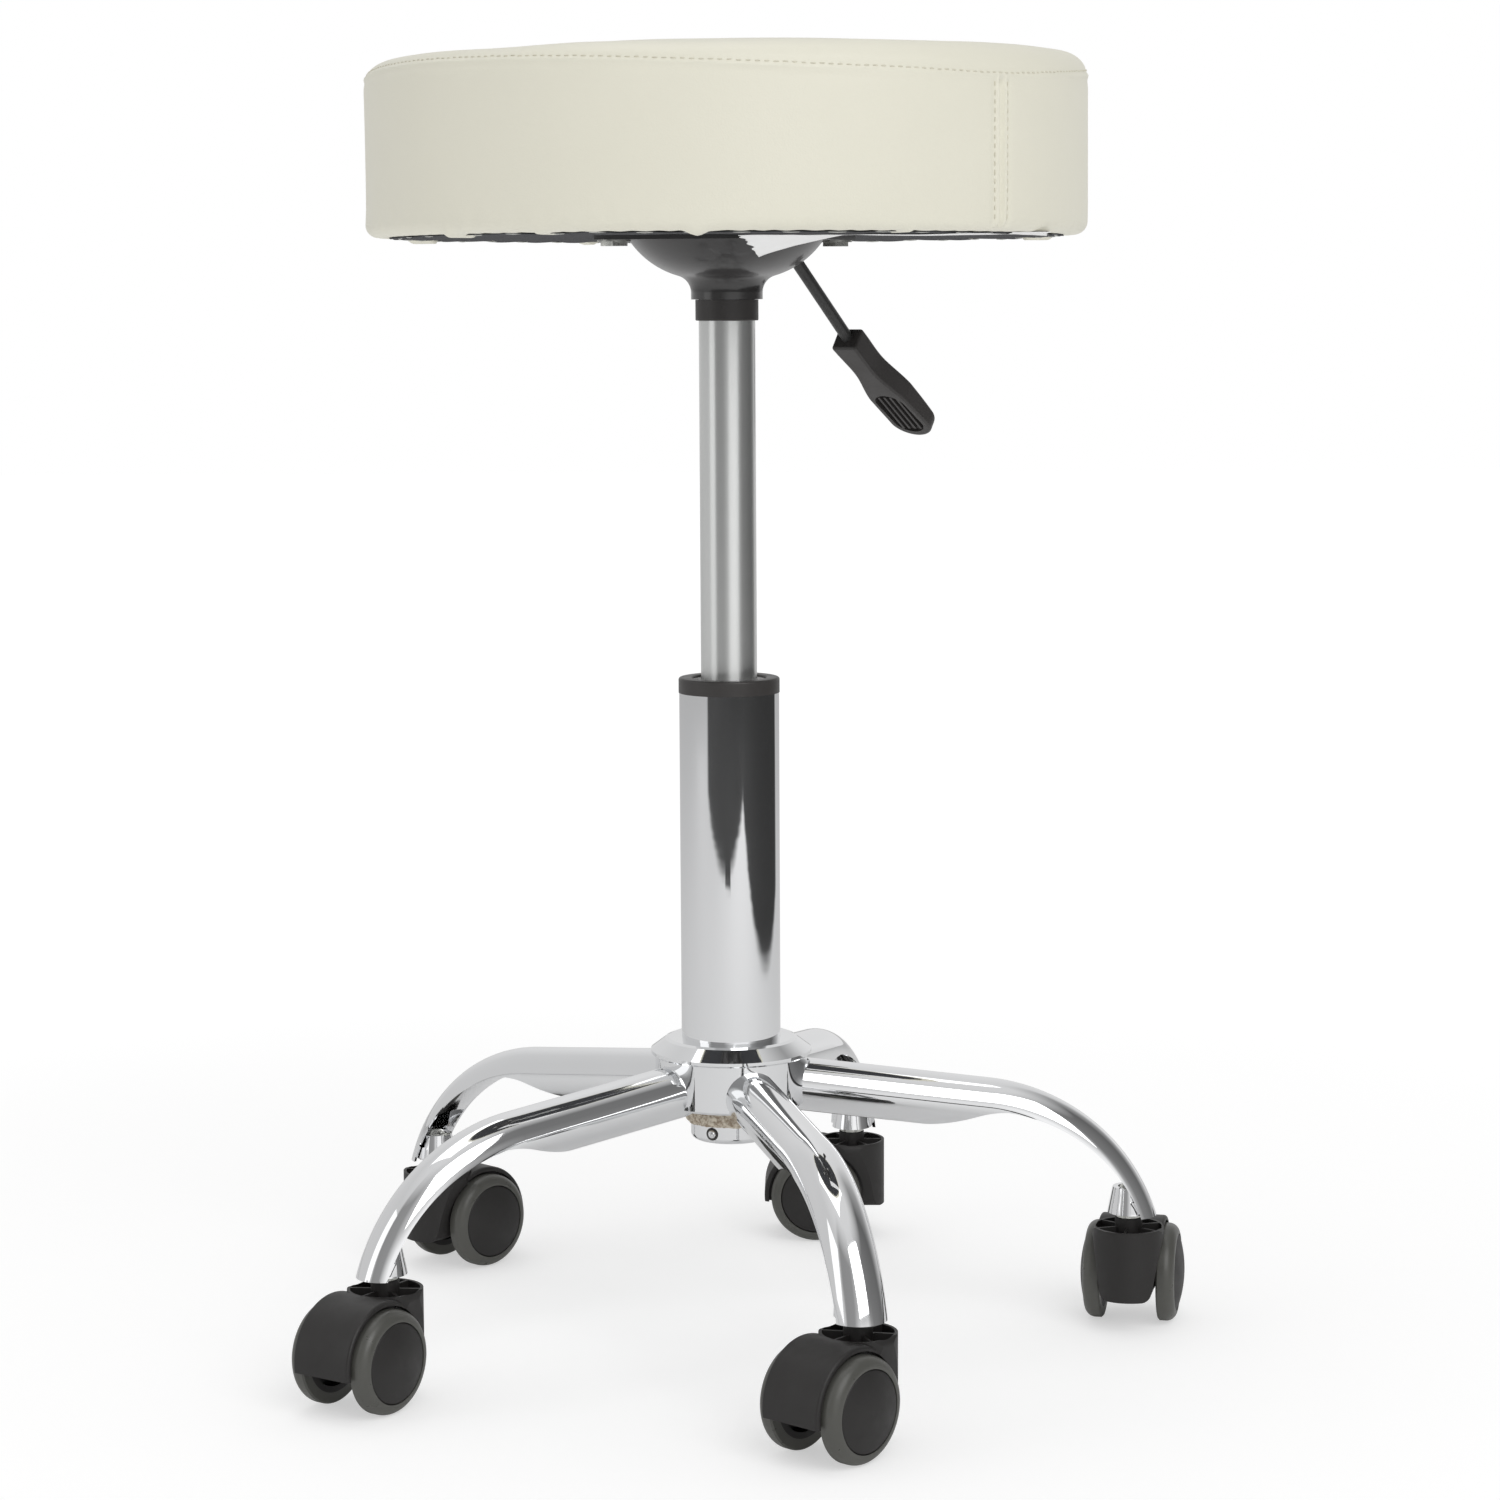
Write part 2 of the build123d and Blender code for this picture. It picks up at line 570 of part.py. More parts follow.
# T-nuts: flanged threaded barrels let into the board's top.
with BuildPart() as t_nuts:
    for nut_r, nut_bottom, nut_top in (
        (5.4, BOARD_BOTTOM_Z + 2, BOARD_BOTTOM_Z + BOARD_T),
        (9.4, BOARD_BOTTOM_Z + BOARD_T - 1.2, BOARD_BOTTOM_Z + BOARD_T),
    ):
        with BuildSketch(Plane.XY.offset(nut_bottom)):
            with PolarLocations(BOLT_CIRCLE_R, 4, start_angle=BOLT_TURN):
                Circle(nut_r)
        extrude(amount=nut_top - nut_bottom)
    with Locations((0, 0, BOARD_BOTTOM_Z + BOARD_T)):
        with PolarLocations(BOLT_CIRCLE_R, 4, start_angle=BOLT_TURN):
            Hole(BOLT_R)
save(t_nuts, "t_nuts")

# Seat bolts: low flanged hexagon heads under the plate.
BOLT_FLANGE_R = 8.2
BOLT_FLANGE_T = 0.9
BOLT_HEX_R = 7.2
BOLT_HEX_T = 2.1
with BuildPart() as seat_bolts:
    with BuildSketch(Plane.XY.offset(PLATE_BOTTOM_Z - BOLT_FLANGE_T)):
        with PolarLocations(BOLT_CIRCLE_R, 4, start_angle=BOLT_TURN):
            Circle(BOLT_FLANGE_R)
    extrude(amount=BOLT_FLANGE_T)
    with BuildSketch(Plane.XY.offset(PLATE_BOTTOM_Z - BOLT_FLANGE_T)):
        with PolarLocations(BOLT_CIRCLE_R, 4, start_angle=BOLT_TURN):
            RegularPolygon(radius=BOLT_HEX_R, side_count=6)
    extrude(amount=-BOLT_HEX_T)
    with BuildSketch(Plane.XY.offset(PLATE_BOTTOM_Z)):
        with PolarLocations(BOLT_CIRCLE_R, 4, start_angle=BOLT_TURN):
            Circle(BOLT_R)
    extrude(amount=BOARD_BOTTOM_Z + BOARD_T - 0.5 - PLATE_BOTTOM_Z)
save(seat_bolts, "seat_bolts")


def cushion_outline(inset, bottom_r, bottom_z):
    """Half section of the cushion's top and side, drawn inset millimetres inside its skin."""
    top_z = SEAT_TOP_Z - inset
    edge_r = SEAT_R - inset
    shoulder = SEAT_SHOULDER_Z - inset
    Line((bottom_r, top_z), (SEAT_FLAT_R, top_z))
    ThreePointArc((SEAT_FLAT_R, top_z), (96, top_z - 1.8), (SEAT_R - 16, shoulder))
    ThreePointArc((SEAT_R - 16, shoulder), (edge_r - 4.4, shoulder - 4.6), (edge_r, shoulder - 14))
    Line((edge_r, shoulder - 14), (edge_r, bottom_z))


# Foam pad on the board, turned down over its rim.
FOAM_INSET = COVER_T + 0.25
SKIRT_Z = BOARD_BOTTOM_Z + 5
with BuildPart() as seat_foam:
    with BuildSketch(Plane.XZ):
        with BuildLine():
            cushion_outline(FOAM_INSET, 0, SKIRT_Z)
            Polyline(
                (SEAT_R - FOAM_INSET, SKIRT_Z),
                (BOARD_R + 0.1, SKIRT_Z),
                (BOARD_R + 0.1, BOARD_BOTTOM_Z + BOARD_T + 0.1),
                (0, BOARD_BOTTOM_Z + BOARD_T + 0.1),
                (0, SEAT_TOP_Z - FOAM_INSET),
            )
        make_face()
    revolve(axis=Axis.Z)
save(seat_foam, "seat_foam")

# Vinyl cover: a top and a side wall, turned in under the board as a hem.
with BuildPart() as seat_cover:
    with BuildSketch(Plane.XZ):
        with BuildLine():
            cushion_outline(0, 0, SEAT_BOTTOM_Z + 6)
            Polyline(
                (SEAT_R, SEAT_BOTTOM_Z + 6),
                (SEAT_R - 1.8, SEAT_BOTTOM_Z + 1.8),
                (SEAT_R - 6, SEAT_BOTTOM_Z),
                (HEM_INNER_R, SEAT_BOTTOM_Z),
                (HEM_INNER_R, BOARD_BOTTOM_Z),
                (BOARD_R + 1, BOARD_BOTTOM_Z),
                (SEAT_R - COVER_T, SKIRT_Z),
            )
            cushion_outline(COVER_T, 0, SKIRT_Z)
            Line((0, SEAT_TOP_Z - COVER_T), (0, SEAT_TOP_Z))
        make_face()
    revolve(axis=Axis.Z)
save(seat_cover, "seat_cover")

# Thin non-woven dust cover over the board's underside, inside the hem.
with BuildPart() as dust_cover:
    with BuildSketch(Plane.XY.offset(PLATE_TOP_Z)):
        Circle(HEM_INNER_R - 0.5)
        with PolarLocations(BOLT_CIRCLE_R, 4, start_angle=BOLT_TURN):
            Circle(BOLT_R + 0.3, mode=Mode.SUBTRACT)
    extrude(amount=0.6)
save(dust_cover, "dust_cover")

# ---------------------------------------------------------------- casters


def caster_housing(foot, trail):
    """Twin-wheel caster body: an open cup on a rounded hood, hollow from below."""
    side = upright_plane(trail, foot)
    axle_at = (CASTER_TRAIL, WHEEL_R)
    cup_plane = Plane(foot, x_dir=side.x_dir, z_dir=(0, 0, 1))
    front = Plane(foot, x_dir=side.z_dir, z_dir=-side.x_dir)
    # Hood: a rounded disc over the wheels' inner edges, cut off level below and at the cup.
    with BuildPart() as hood:
        with BuildSketch(side.offset(-HOOD_HALF_W)):
            with Locations(axle_at):
                Circle(HOOD_R)
        extrude(amount=2 * HOOD_HALF_W)
        fillet(hood.edges().filter_by(GeomType.CIRCLE), HOOD_EDGE_R)
        with BuildSketch(side):
            with Locations((CASTER_TRAIL, HOOD_BOTTOM_Z - HOOD_R)):
                Rectangle(2 * HOOD_R + 2, 2 * HOOD_R)
            with Locations((-HOOD_R, WHEEL_R)):
                Rectangle(2 * HOOD_R, 2 * HOOD_R + 2)
        extrude(amount=HOOD_HALF_W + 1, both=True, mode=Mode.SUBTRACT)
    with BuildPart() as housing:
        # Cup, whose front wall narrows to a rounded chin in front of the wheels.
        with BuildSketch(cup_plane.offset(CHIN_Z)):
            Circle(CUP_R)
        extrude(amount=CUP_TOP_Z - CHIN_Z)
        with BuildSketch(front) as chin:
            with BuildLine():
                Polyline(
                    (-CHIN_HALF_W, CHIN_Z),
                    (CHIN_HALF_W, CHIN_Z),
                    (CUP_R + 0.4, CUP_TOP_Z + 1),
                    (-CUP_R - 0.4, CUP_TOP_Z + 1),
                    (-CHIN_HALF_W, CHIN_Z),
                )
            make_face()
            fillet(chin.vertices().group_by(Axis.Z)[0], 4.5)
        extrude(amount=CUP_R + 1, both=True, mode=Mode.INTERSECT)
        add(hood.part)
        with BuildSketch(cup_plane.offset(CUP_TOP_Z)):
            Circle(CUP_R)
        extrude(amount=HOOD_R, mode=Mode.SUBTRACT)
        # Arches for the wheels.
        for side_sign in (-1, 1):
            with BuildSketch(side.offset(side_sign * WEB_HALF_W)):
                with Locations(axle_at):
                    Circle(WHEEL_ARCH_R)
            extrude(amount=side_sign * 20, mode=Mode.SUBTRACT)
        # Open underside: a central bay and the cup's own well, either side of the stem boss.
        with BuildSketch(side):
            with Locations(axle_at):
                Circle(HOOD_R - HOOD_WALL)
        extrude(amount=WEB_HALF_W - HOOD_WALL, both=True, mode=Mode.SUBTRACT)
        with BuildSketch(cup_plane.offset(CUP_TOP_Z)):
            Circle(CUP_R - CUP_WALL)
            Circle(BOSS_R, mode=Mode.SUBTRACT)
            with PolarLocations((CUP_R + BOSS_R) / 2 - 1.5, 6):
                Rectangle(12, 1.2, mode=Mode.SUBTRACT)
        extrude(amount=-CUP_DEPTH, mode=Mode.SUBTRACT)
        # Stem boss, down to the axle's level and up past the cup's rim.
        with BuildSketch(cup_plane.offset(30)):
            Circle(BOSS_R + 1.3)
        extrude(amount=CUP_TOP_Z - CUP_DEPTH - 30)
        with BuildSketch(cup_plane.offset(CUP_TOP_Z - CUP_DEPTH)):
            Circle(BOSS_R)
        extrude(amount=BOSS_TOP_Z - CUP_TOP_Z + CUP_DEPTH)
        with BuildSketch(cup_plane.offset(30)):
            Circle(STEM_R + RUNNING)
        extrude(amount=30, mode=Mode.SUBTRACT)
        # Axle bore through both walls.
        with BuildSketch(side):
            with Locations(axle_at):
                Circle(AXLE_R)
        extrude(amount=20, both=True, mode=Mode.SUBTRACT)
    return housing


def caster_axle(side):
    """Steel axle pin through the housing's two walls."""
    with BuildPart() as axle:
        with BuildSketch(side):
            with Locations((CASTER_TRAIL, WHEEL_R)):
                Circle(AXLE_R)
        extrude(amount=22.5, both=True)
        chamfer(axle.edges().filter_by(GeomType.CIRCLE), 0.5)
    return axle


CAP_RISE = 3.0  # dome of the wheel's outer cap
TREAD_FLAT_Y = 18.0  # the tread rolls on the flat inside this
TREAD_OUTER_Y = WHEEL_OUTER_Y - CAP_RISE


def wheel_disc(centre, outward):
    """Wheel body: a bored hub, a web and a domed outer cap."""
    section = Plane(centre, x_dir=outward, z_dir=outward.cross(Vector(0, 0, 1)))
    cap_y = WHEEL_OUTER_Y - CAP_RISE
    with BuildPart() as disc:
        with BuildSketch(section):
            with BuildLine():
                Polyline(
                    (WHEEL_INNER_Y, AXLE_R + RUNNING),
                    (WHEEL_INNER_Y, 7.0),
                    (20.4, 7.0),
                    (20.4, 16.6),
                    (WHEEL_INNER_Y + 0.4, 16.6),
                    (WHEEL_INNER_Y + 0.4, TREAD_INNER_R),
                    (cap_y - 0.8, TREAD_INNER_R),
                    (cap_y, TREAD_INNER_R - 0.8),
                )
                ThreePointArc(
                    (cap_y, TREAD_INNER_R - 0.8),
                    (WHEEL_OUTER_Y - CAP_RISE / 4, TREAD_INNER_R / 2),
                    (WHEEL_OUTER_Y, 2),
                )
                Polyline(
                    (WHEEL_OUTER_Y, 2),
                    (WHEEL_OUTER_Y, 0),
                    (22.9, 0),
                    (22.9, AXLE_R + RUNNING),
                    (WHEEL_INNER_Y, AXLE_R + RUNNING),
                )
            make_face()
        revolve(axis=Axis(centre, outward))
    return disc


def wheel_tread(centre, outward):
    """Soft tyre ring on the wheel, with a rounded outer shoulder."""
    section = Plane(centre, x_dir=outward, z_dir=outward.cross(Vector(0, 0, 1)))
    with BuildPart() as tread:
        with BuildSketch(section):
            with BuildLine():
                Polyline(
                    (TREAD_OUTER_Y, TREAD_INNER_R),
                    (WHEEL_INNER_Y + 0.4, TREAD_INNER_R),
                    (WHEEL_INNER_Y + 0.4, WHEEL_R - 0.8),
                    (WHEEL_INNER_Y + 1.2, WHEEL_R),
                    (TREAD_FLAT_Y, WHEEL_R),
                )
                ThreePointArc(
                    (TREAD_FLAT_Y, WHEEL_R),
                    (TREAD_OUTER_Y - 1.4, WHEEL_R - 1.7),
                    (TREAD_OUTER_Y, TREAD_INNER_R),
                )
            make_face()
        revolve(axis=Axis(centre, outward))
    return tread


for caster_index, trail_azimuth in enumerate(TRAIL_AZIMUTHS):
    caster_foot = stem_foot(caster_index)
    caster_side = upright_plane(trail_azimuth, caster_foot)
    axle_centre = caster_side.from_local_coords((CASTER_TRAIL, WHEEL_R))
    caster_name = f"caster_{caster_index + 1}"
    save(caster_housing(caster_foot, trail_azimuth), f"{caster_name}_housing")
    save(caster_axle(caster_side), f"{caster_name}_axle")
    for wheel_name, outward_dir in (("right", caster_side.z_dir), ("left", -caster_side.z_dir)):
        save(wheel_disc(axle_centre, outward_dir), f"{caster_name}_wheel_{wheel_name}")
        save(wheel_tread(axle_centre, outward_dir), f"{caster_name}_tread_{wheel_name}")
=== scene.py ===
"""Looks of the pedicure stool: materials for the CAD pieces, and the upholstery built over them.

Metres, in the row frame: +Z up from the floor, the column on the Z axis, leg_1 along +X.
"""

import json
import math
import random

import bmesh
import bpy
from mathutils import Matrix, Vector, noise
from mathutils.bvhtree import BVHTree
from mathutils.kdtree import KDTree


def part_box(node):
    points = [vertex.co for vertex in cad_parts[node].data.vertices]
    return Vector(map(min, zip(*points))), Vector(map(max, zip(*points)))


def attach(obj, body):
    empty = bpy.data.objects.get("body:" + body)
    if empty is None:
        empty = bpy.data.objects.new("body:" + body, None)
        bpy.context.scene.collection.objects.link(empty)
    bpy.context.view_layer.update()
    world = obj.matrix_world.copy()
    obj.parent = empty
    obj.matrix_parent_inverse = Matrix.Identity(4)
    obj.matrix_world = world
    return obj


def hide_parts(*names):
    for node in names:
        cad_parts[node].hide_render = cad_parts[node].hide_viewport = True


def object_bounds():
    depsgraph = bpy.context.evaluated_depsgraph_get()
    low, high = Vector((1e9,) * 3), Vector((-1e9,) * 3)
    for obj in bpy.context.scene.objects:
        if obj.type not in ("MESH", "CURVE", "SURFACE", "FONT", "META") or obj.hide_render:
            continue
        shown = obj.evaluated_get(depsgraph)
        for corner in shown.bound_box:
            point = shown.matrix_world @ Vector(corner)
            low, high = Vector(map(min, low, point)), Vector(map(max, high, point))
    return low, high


MM = 0.001
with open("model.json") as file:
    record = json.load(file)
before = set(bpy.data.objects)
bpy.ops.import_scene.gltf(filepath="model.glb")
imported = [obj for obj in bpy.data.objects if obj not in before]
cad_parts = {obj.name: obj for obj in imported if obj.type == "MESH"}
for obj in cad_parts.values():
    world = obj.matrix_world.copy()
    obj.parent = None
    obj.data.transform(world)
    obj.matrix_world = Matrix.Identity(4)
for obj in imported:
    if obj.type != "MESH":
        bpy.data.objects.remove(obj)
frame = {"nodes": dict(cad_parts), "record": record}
cad_low, cad_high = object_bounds()

# ---------------------------------------------------------------- camera, floor and lights

ROW_TURN = math.radians(1.5)  # the camera's stand, turned about the column from straight in front
CAMERA_DISTANCE = 1.8093
CAMERA_HEIGHT = 0.5241
CAMERA_YAW = math.radians(0.326)
CAMERA_PITCH = math.radians(7.135)
CAMERA_ROLL = math.radians(-0.291)
CAMERA_LENS = 87.25
SENSOR = 36.0


def add_camera():
    """Camera at the photograph's place: nearly level with the seat, looking slightly down."""
    forward = Vector((
        math.sin(CAMERA_YAW) * math.cos(CAMERA_PITCH),
        math.cos(CAMERA_YAW) * math.cos(CAMERA_PITCH),
        -math.sin(CAMERA_PITCH),
    ))
    level = Vector((math.cos(CAMERA_YAW), -math.sin(CAMERA_YAW), 0))
    upright = level.cross(forward)
    right = level * math.cos(CAMERA_ROLL) + upright * math.sin(CAMERA_ROLL)
    up = right.cross(forward)
    turn = Matrix.Rotation(ROW_TURN, 4, "Z")
    rotation = Matrix((right, up, -forward)).transposed().to_4x4()
    data = bpy.data.cameras.new("camera")
    data.lens = CAMERA_LENS
    data.sensor_width = SENSOR
    data.clip_start = 0.05
    data.clip_end = 60
    camera = bpy.data.objects.new("camera", data)
    bpy.context.scene.collection.objects.link(camera)
    place = Matrix.Translation((0, -CAMERA_DISTANCE, CAMERA_HEIGHT))
    camera.matrix_world = turn @ place @ rotation
    bpy.context.scene.camera = camera


def link_nodes(tree, start, start_socket, end, end_socket):
    tree.links.new(start.outputs[start_socket], end.inputs[end_socket])


def add_light(name, place, target, size, power):
    """Rectangular lamp that faces its target."""
    data = bpy.data.lights.new(name, "AREA")
    data.shape = "RECTANGLE"
    data.size, data.size_y = size
    data.energy = power
    light = bpy.data.objects.new(name, data)
    bpy.context.scene.collection.objects.link(light)
    light.location = place
    light.rotation_mode = "QUATERNION"
    light.rotation_quaternion = (Vector(target) - Vector(place)).to_track_quat("-Z", "Y")


def ramp_node(tree, value, stops):
    """Grey ramp over a value from 0 to 1."""
    node = tree.nodes.new("ShaderNodeValToRGB")
    tree.links.new(value, node.inputs["Fac"])
    ramp = node.color_ramp
    ramp.elements[0].position, ramp.elements[1].position = stops[0][0], stops[-1][0]
    ramp.elements[0].color = (*(stops[0][1],) * 3, 1)
    ramp.elements[1].color = (*(stops[-1][1],) * 3, 1)
    for position, grey in stops[1:-1]:
        ramp.elements.new(position).color = (grey, grey, grey, 1)
    return node.outputs["Color"]


def ranged(tree, value, low, high, to_low=0.0, to_high=1.0):
    """A value's range low to high, spread over to_low to to_high and held at its ends."""
    node = tree.nodes.new("ShaderNodeMapRange")
    for socket, number in zip(("From Min", "From Max", "To Min", "To Max"), (low, high, to_low, to_high)):
        node.inputs[socket].default_value = number
    tree.links.new(value, node.inputs["Value"])
    return node.outputs["Result"]


def mixed(tree, amount, first, second):
    """Colour between two, each a grey, a colour or a socket."""
    node = tree.nodes.new("ShaderNodeMix")
    node.data_type = "RGBA"
    tree.links.new(amount, node.inputs["Factor"])
    colours = [socket for socket in node.inputs if socket.type == "RGBA"]
    for socket, colour in zip(colours, (first, second)):
        if isinstance(colour, bpy.types.NodeSocket):
            tree.links.new(colour, socket)
        elif isinstance(colour, tuple):
            socket.default_value = (*colour, 1)
        else:
            socket.default_value = (colour, colour, colour, 1)
    return [socket for socket in node.outputs if socket.type == "RGBA"][0]


def arithmetic(tree, operation, first, second):
    """Math node on two numbers or sockets."""
    node = tree.nodes.new("ShaderNodeMath")
    node.operation = operation
    for index, value in enumerate((first, second)):
        if isinstance(value, bpy.types.NodeSocket):
            tree.links.new(value, node.inputs[index])
        else:
            node.inputs[index].default_value = value
    return node.outputs["Value"]


FLOOR_HALF = 9.0
GLOW_NEAR, GLOW_FAR = 0.5, 1.0  # the white ground's own glow, by the stool and away from it
GLOW_START, GLOW_END = 0.2, 1.0  # distances from the column between which the glow grows
GROUND_GREY = 0.6
# What the chrome sees of the ground: a white table with a slanted front edge, the camera stand's painted
# shadow (a dark patch) in front of it, and a white board that runs on at the left.
TABLE_FRONT, FRONT_BLUR = -1.6, 0.12
TABLE_SLANT = 0.146
TABLE_RIGHT, RIGHT_BLUR = 1.1, -0.1
# Place and blur of the camera stand's painted shadow: a dark patch on the ground that only glossy rays see.
STAND_SHADOW_X, STAND_SHADOW_HALF_W, STAND_SHADOW_SIDE_BLUR = -0.1, 0.13, 0.05
STAND_SHADOW_Y, STAND_SHADOW_END_BLUR = -1.47, 0.08
BOARD_SLOPE = 1.15
BOARD_EDGE = (0.1, -0.2)
TABLE_SEEN = 0.84
DARK_RIGHT, DARK_LEFT = 0.042, 0.085  # grey beyond the table, at each side
DARK_RIGHT_X, DARK_LEFT_X = 0.6, -1.6


def add_floor():
    """Pale floor that brightens to the backdrop's white far away; chrome sees a white table that ends."""
    mesh = bpy.data.meshes.new("floor")
    half = FLOOR_HALF
    mesh.from_pydata(
        [(-half, -half, 0), (half, -half, 0), (half, half, 0), (-half, half, 0)], [], [(0, 1, 2, 3)]
    )
    floor = bpy.data.objects.new("floor", mesh)
    bpy.context.scene.collection.objects.link(floor)
    floor.location.z = cad_low.z - 0.0002
    material = bpy.data.materials.new("floor")
    material.use_nodes = True
    tree = material.node_tree
    shader = tree.nodes["Principled BSDF"]
    shader.inputs["Roughness"].default_value = 0.8
    shader.inputs["Specular IOR Level"].default_value = 0.1
    coords = tree.nodes.new("ShaderNodeTexCoord").outputs["Object"]
    split = tree.nodes.new("ShaderNodeSeparateXYZ")
    tree.links.new(coords, split.inputs["Vector"])
    length = tree.nodes.new("ShaderNodeVectorMath")
    length.operation = "LENGTH"
    tree.links.new(coords, length.inputs[0])
    far = ranged(tree, length.outputs["Value"], GLOW_START, GLOW_END)
    glow = ranged(tree, length.outputs["Value"], GLOW_START, GLOW_END, GLOW_NEAR, GLOW_FAR)
    glossy = tree.nodes.new("ShaderNodeLightPath").outputs["Is Glossy Ray"]
    slant = arithmetic(tree, "MULTIPLY", split.outputs["X"], TABLE_SLANT)
    from_front = arithmetic(tree, "ADD", slant, split.outputs["Y"])
    front = ranged(tree, from_front, TABLE_FRONT, TABLE_FRONT + FRONT_BLUR)
    right = ranged(tree, split.outputs["X"], TABLE_RIGHT, TABLE_RIGHT + RIGHT_BLUR)
    # Painted shadow of the camera stand: the table goes dark in this patch, for glossy rays only.
    from_stand_shadow = arithmetic(tree, "ABSOLUTE", arithmetic(tree, "SUBTRACT", split.outputs["X"], STAND_SHADOW_X), 0.0)
    beside_stand_shadow = ranged(tree, from_stand_shadow, STAND_SHADOW_HALF_W, STAND_SHADOW_HALF_W + STAND_SHADOW_SIDE_BLUR)
    before_stand_shadow = ranged(tree, split.outputs["Y"], STAND_SHADOW_Y, STAND_SHADOW_Y + STAND_SHADOW_END_BLUR)
    clear = arithmetic(tree, "MAXIMUM", beside_stand_shadow, before_stand_shadow)
    table = arithmetic(tree, "MULTIPLY", arithmetic(tree, "MULTIPLY", front, right), clear)
    sweep = arithmetic(tree, "MULTIPLY", split.outputs["Y"], BOARD_SLOPE)
    board = ranged(tree, arithmetic(tree, "SUBTRACT", split.outputs["X"], sweep), *BOARD_EDGE)
    lit = arithmetic(tree, "MAXIMUM", table, board)
    seen = mixed(tree, far, GROUND_GREY, 0.0)
    dark = ranged(tree, split.outputs["X"], DARK_RIGHT_X, DARK_LEFT_X, DARK_RIGHT, DARK_LEFT)
    mirrored = mixed(tree, lit, dark, TABLE_SEEN)
    tree.links.new(mixed(tree, glossy, seen, mirrored), shader.inputs["Base Color"])
    shader.inputs["Emission Color"].default_value = (1, 1, 1, 1)
    unseen = arithmetic(tree, "SUBTRACT", 1.0, glossy)
    tree.links.new(arithmetic(tree, "MULTIPLY", glow, unseen), shader.inputs["Emission Strength"])
    # Seen from below, the ground doesn't hide the stool.
    clear_shader = tree.nodes.new("ShaderNodeBsdfTransparent")
    either = tree.nodes.new("ShaderNodeMixShader")
    link_nodes(tree, tree.nodes.new("ShaderNodeNewGeometry"), "Backfacing", either, "Fac")
    tree.links.new(shader.outputs["BSDF"], either.inputs[1])
    tree.links.new(clear_shader.outputs["BSDF"], either.inputs[2])
    link_nodes(tree, either, "Shader", tree.nodes["Material Output"], "Surface")
    mesh.materials.append(material)


FILL = 0.50  # even light that matt surfaces get from all round
CEILING = 0.72  # grey of the ceiling
WALL_FADE = (0.16, 0.42)  # heights of a direction between which the low walls give way to the high ones
CEILING_FADE = (0.72, 0.94)


def add_world():
    """White backdrop; shiny surfaces mirror a studio with bright panels on dark walls, and a pale ceiling."""
    world = bpy.data.worlds.new("studio")
    bpy.context.scene.world = world
    world.use_nodes = True
    tree = world.node_tree
    tree.nodes.clear()
    output = tree.nodes.new("ShaderNodeOutputWorld")
    back = tree.nodes.new("ShaderNodeBackground")
    link_nodes(tree, back, "Background", output, "Surface")
    coords = tree.nodes.new("ShaderNodeTexCoord")
    split = tree.nodes.new("ShaderNodeSeparateXYZ")
    link_nodes(tree, coords, "Generated", split, "Vector")
    around = arithmetic(tree, "ARCTAN2", split.outputs["Y"], split.outputs["X"])
    turn = ranged(tree, around, -math.pi, math.pi)
    walls = ramp_node(tree, turn, (
        (0.0, 0.62), (0.108, 0.62), (0.125, 0.28), (0.205, 0.30), (0.245, 0.70), (0.28, 1.0), (0.36, 1.0),
        (0.395, 0.45), (0.43, 0.22), (0.56, 0.14), (0.62, 0.5), (0.66, 0.8), (0.754, 0.75), (0.893, 0.62),
        (1.0, 0.62),
    ))
    above = ramp_node(tree, turn, (
        (0.0, 0.62), (0.088, 0.62), (0.115, 0.28), (0.215, 0.30), (0.254, 0.50), (0.36, 0.50), (0.399, 0.20),
        (0.56, 0.13), (0.629, 0.35), (0.671, 0.70), (0.754, 0.80), (0.893, 0.65), (1.0, 0.62),
    ))
    height = ranged(tree, split.outputs["Z"], *WALL_FADE)
    ceiling = ranged(tree, split.outputs["Z"], *CEILING_FADE)
    studio = mixed(tree, ceiling, mixed(tree, height, walls, above), CEILING)
    paths = tree.nodes.new("ShaderNodeLightPath")
    lit = mixed(tree, paths.outputs["Is Glossy Ray"], FILL, studio)
    tree.links.new(mixed(tree, paths.outputs["Is Camera Ray"], lit, 1.0), back.inputs["Color"])


def add_studio():
    """Floor, backdrop, a soft key light high at the front right, a top light and a weak one at the left."""
    add_floor()
    add_world()
    add_light("key", (0.95, -1.9, 1.9), (0, 0, 0.45), (1.9, 1.9), 27)
    add_light("top", (-0.3, 0.3, 2.5), (0, 0, 0.3), (1.6, 1.6), 9)
    add_light("left", (-2.1, -1.0, 1.1), (0, 0, 0.4), (1.0, 1.6), 3)


add_camera()
add_studio()
bpy.context.scene.view_settings.view_transform = "Standard"

# ---------------------------------------------------------------- materials


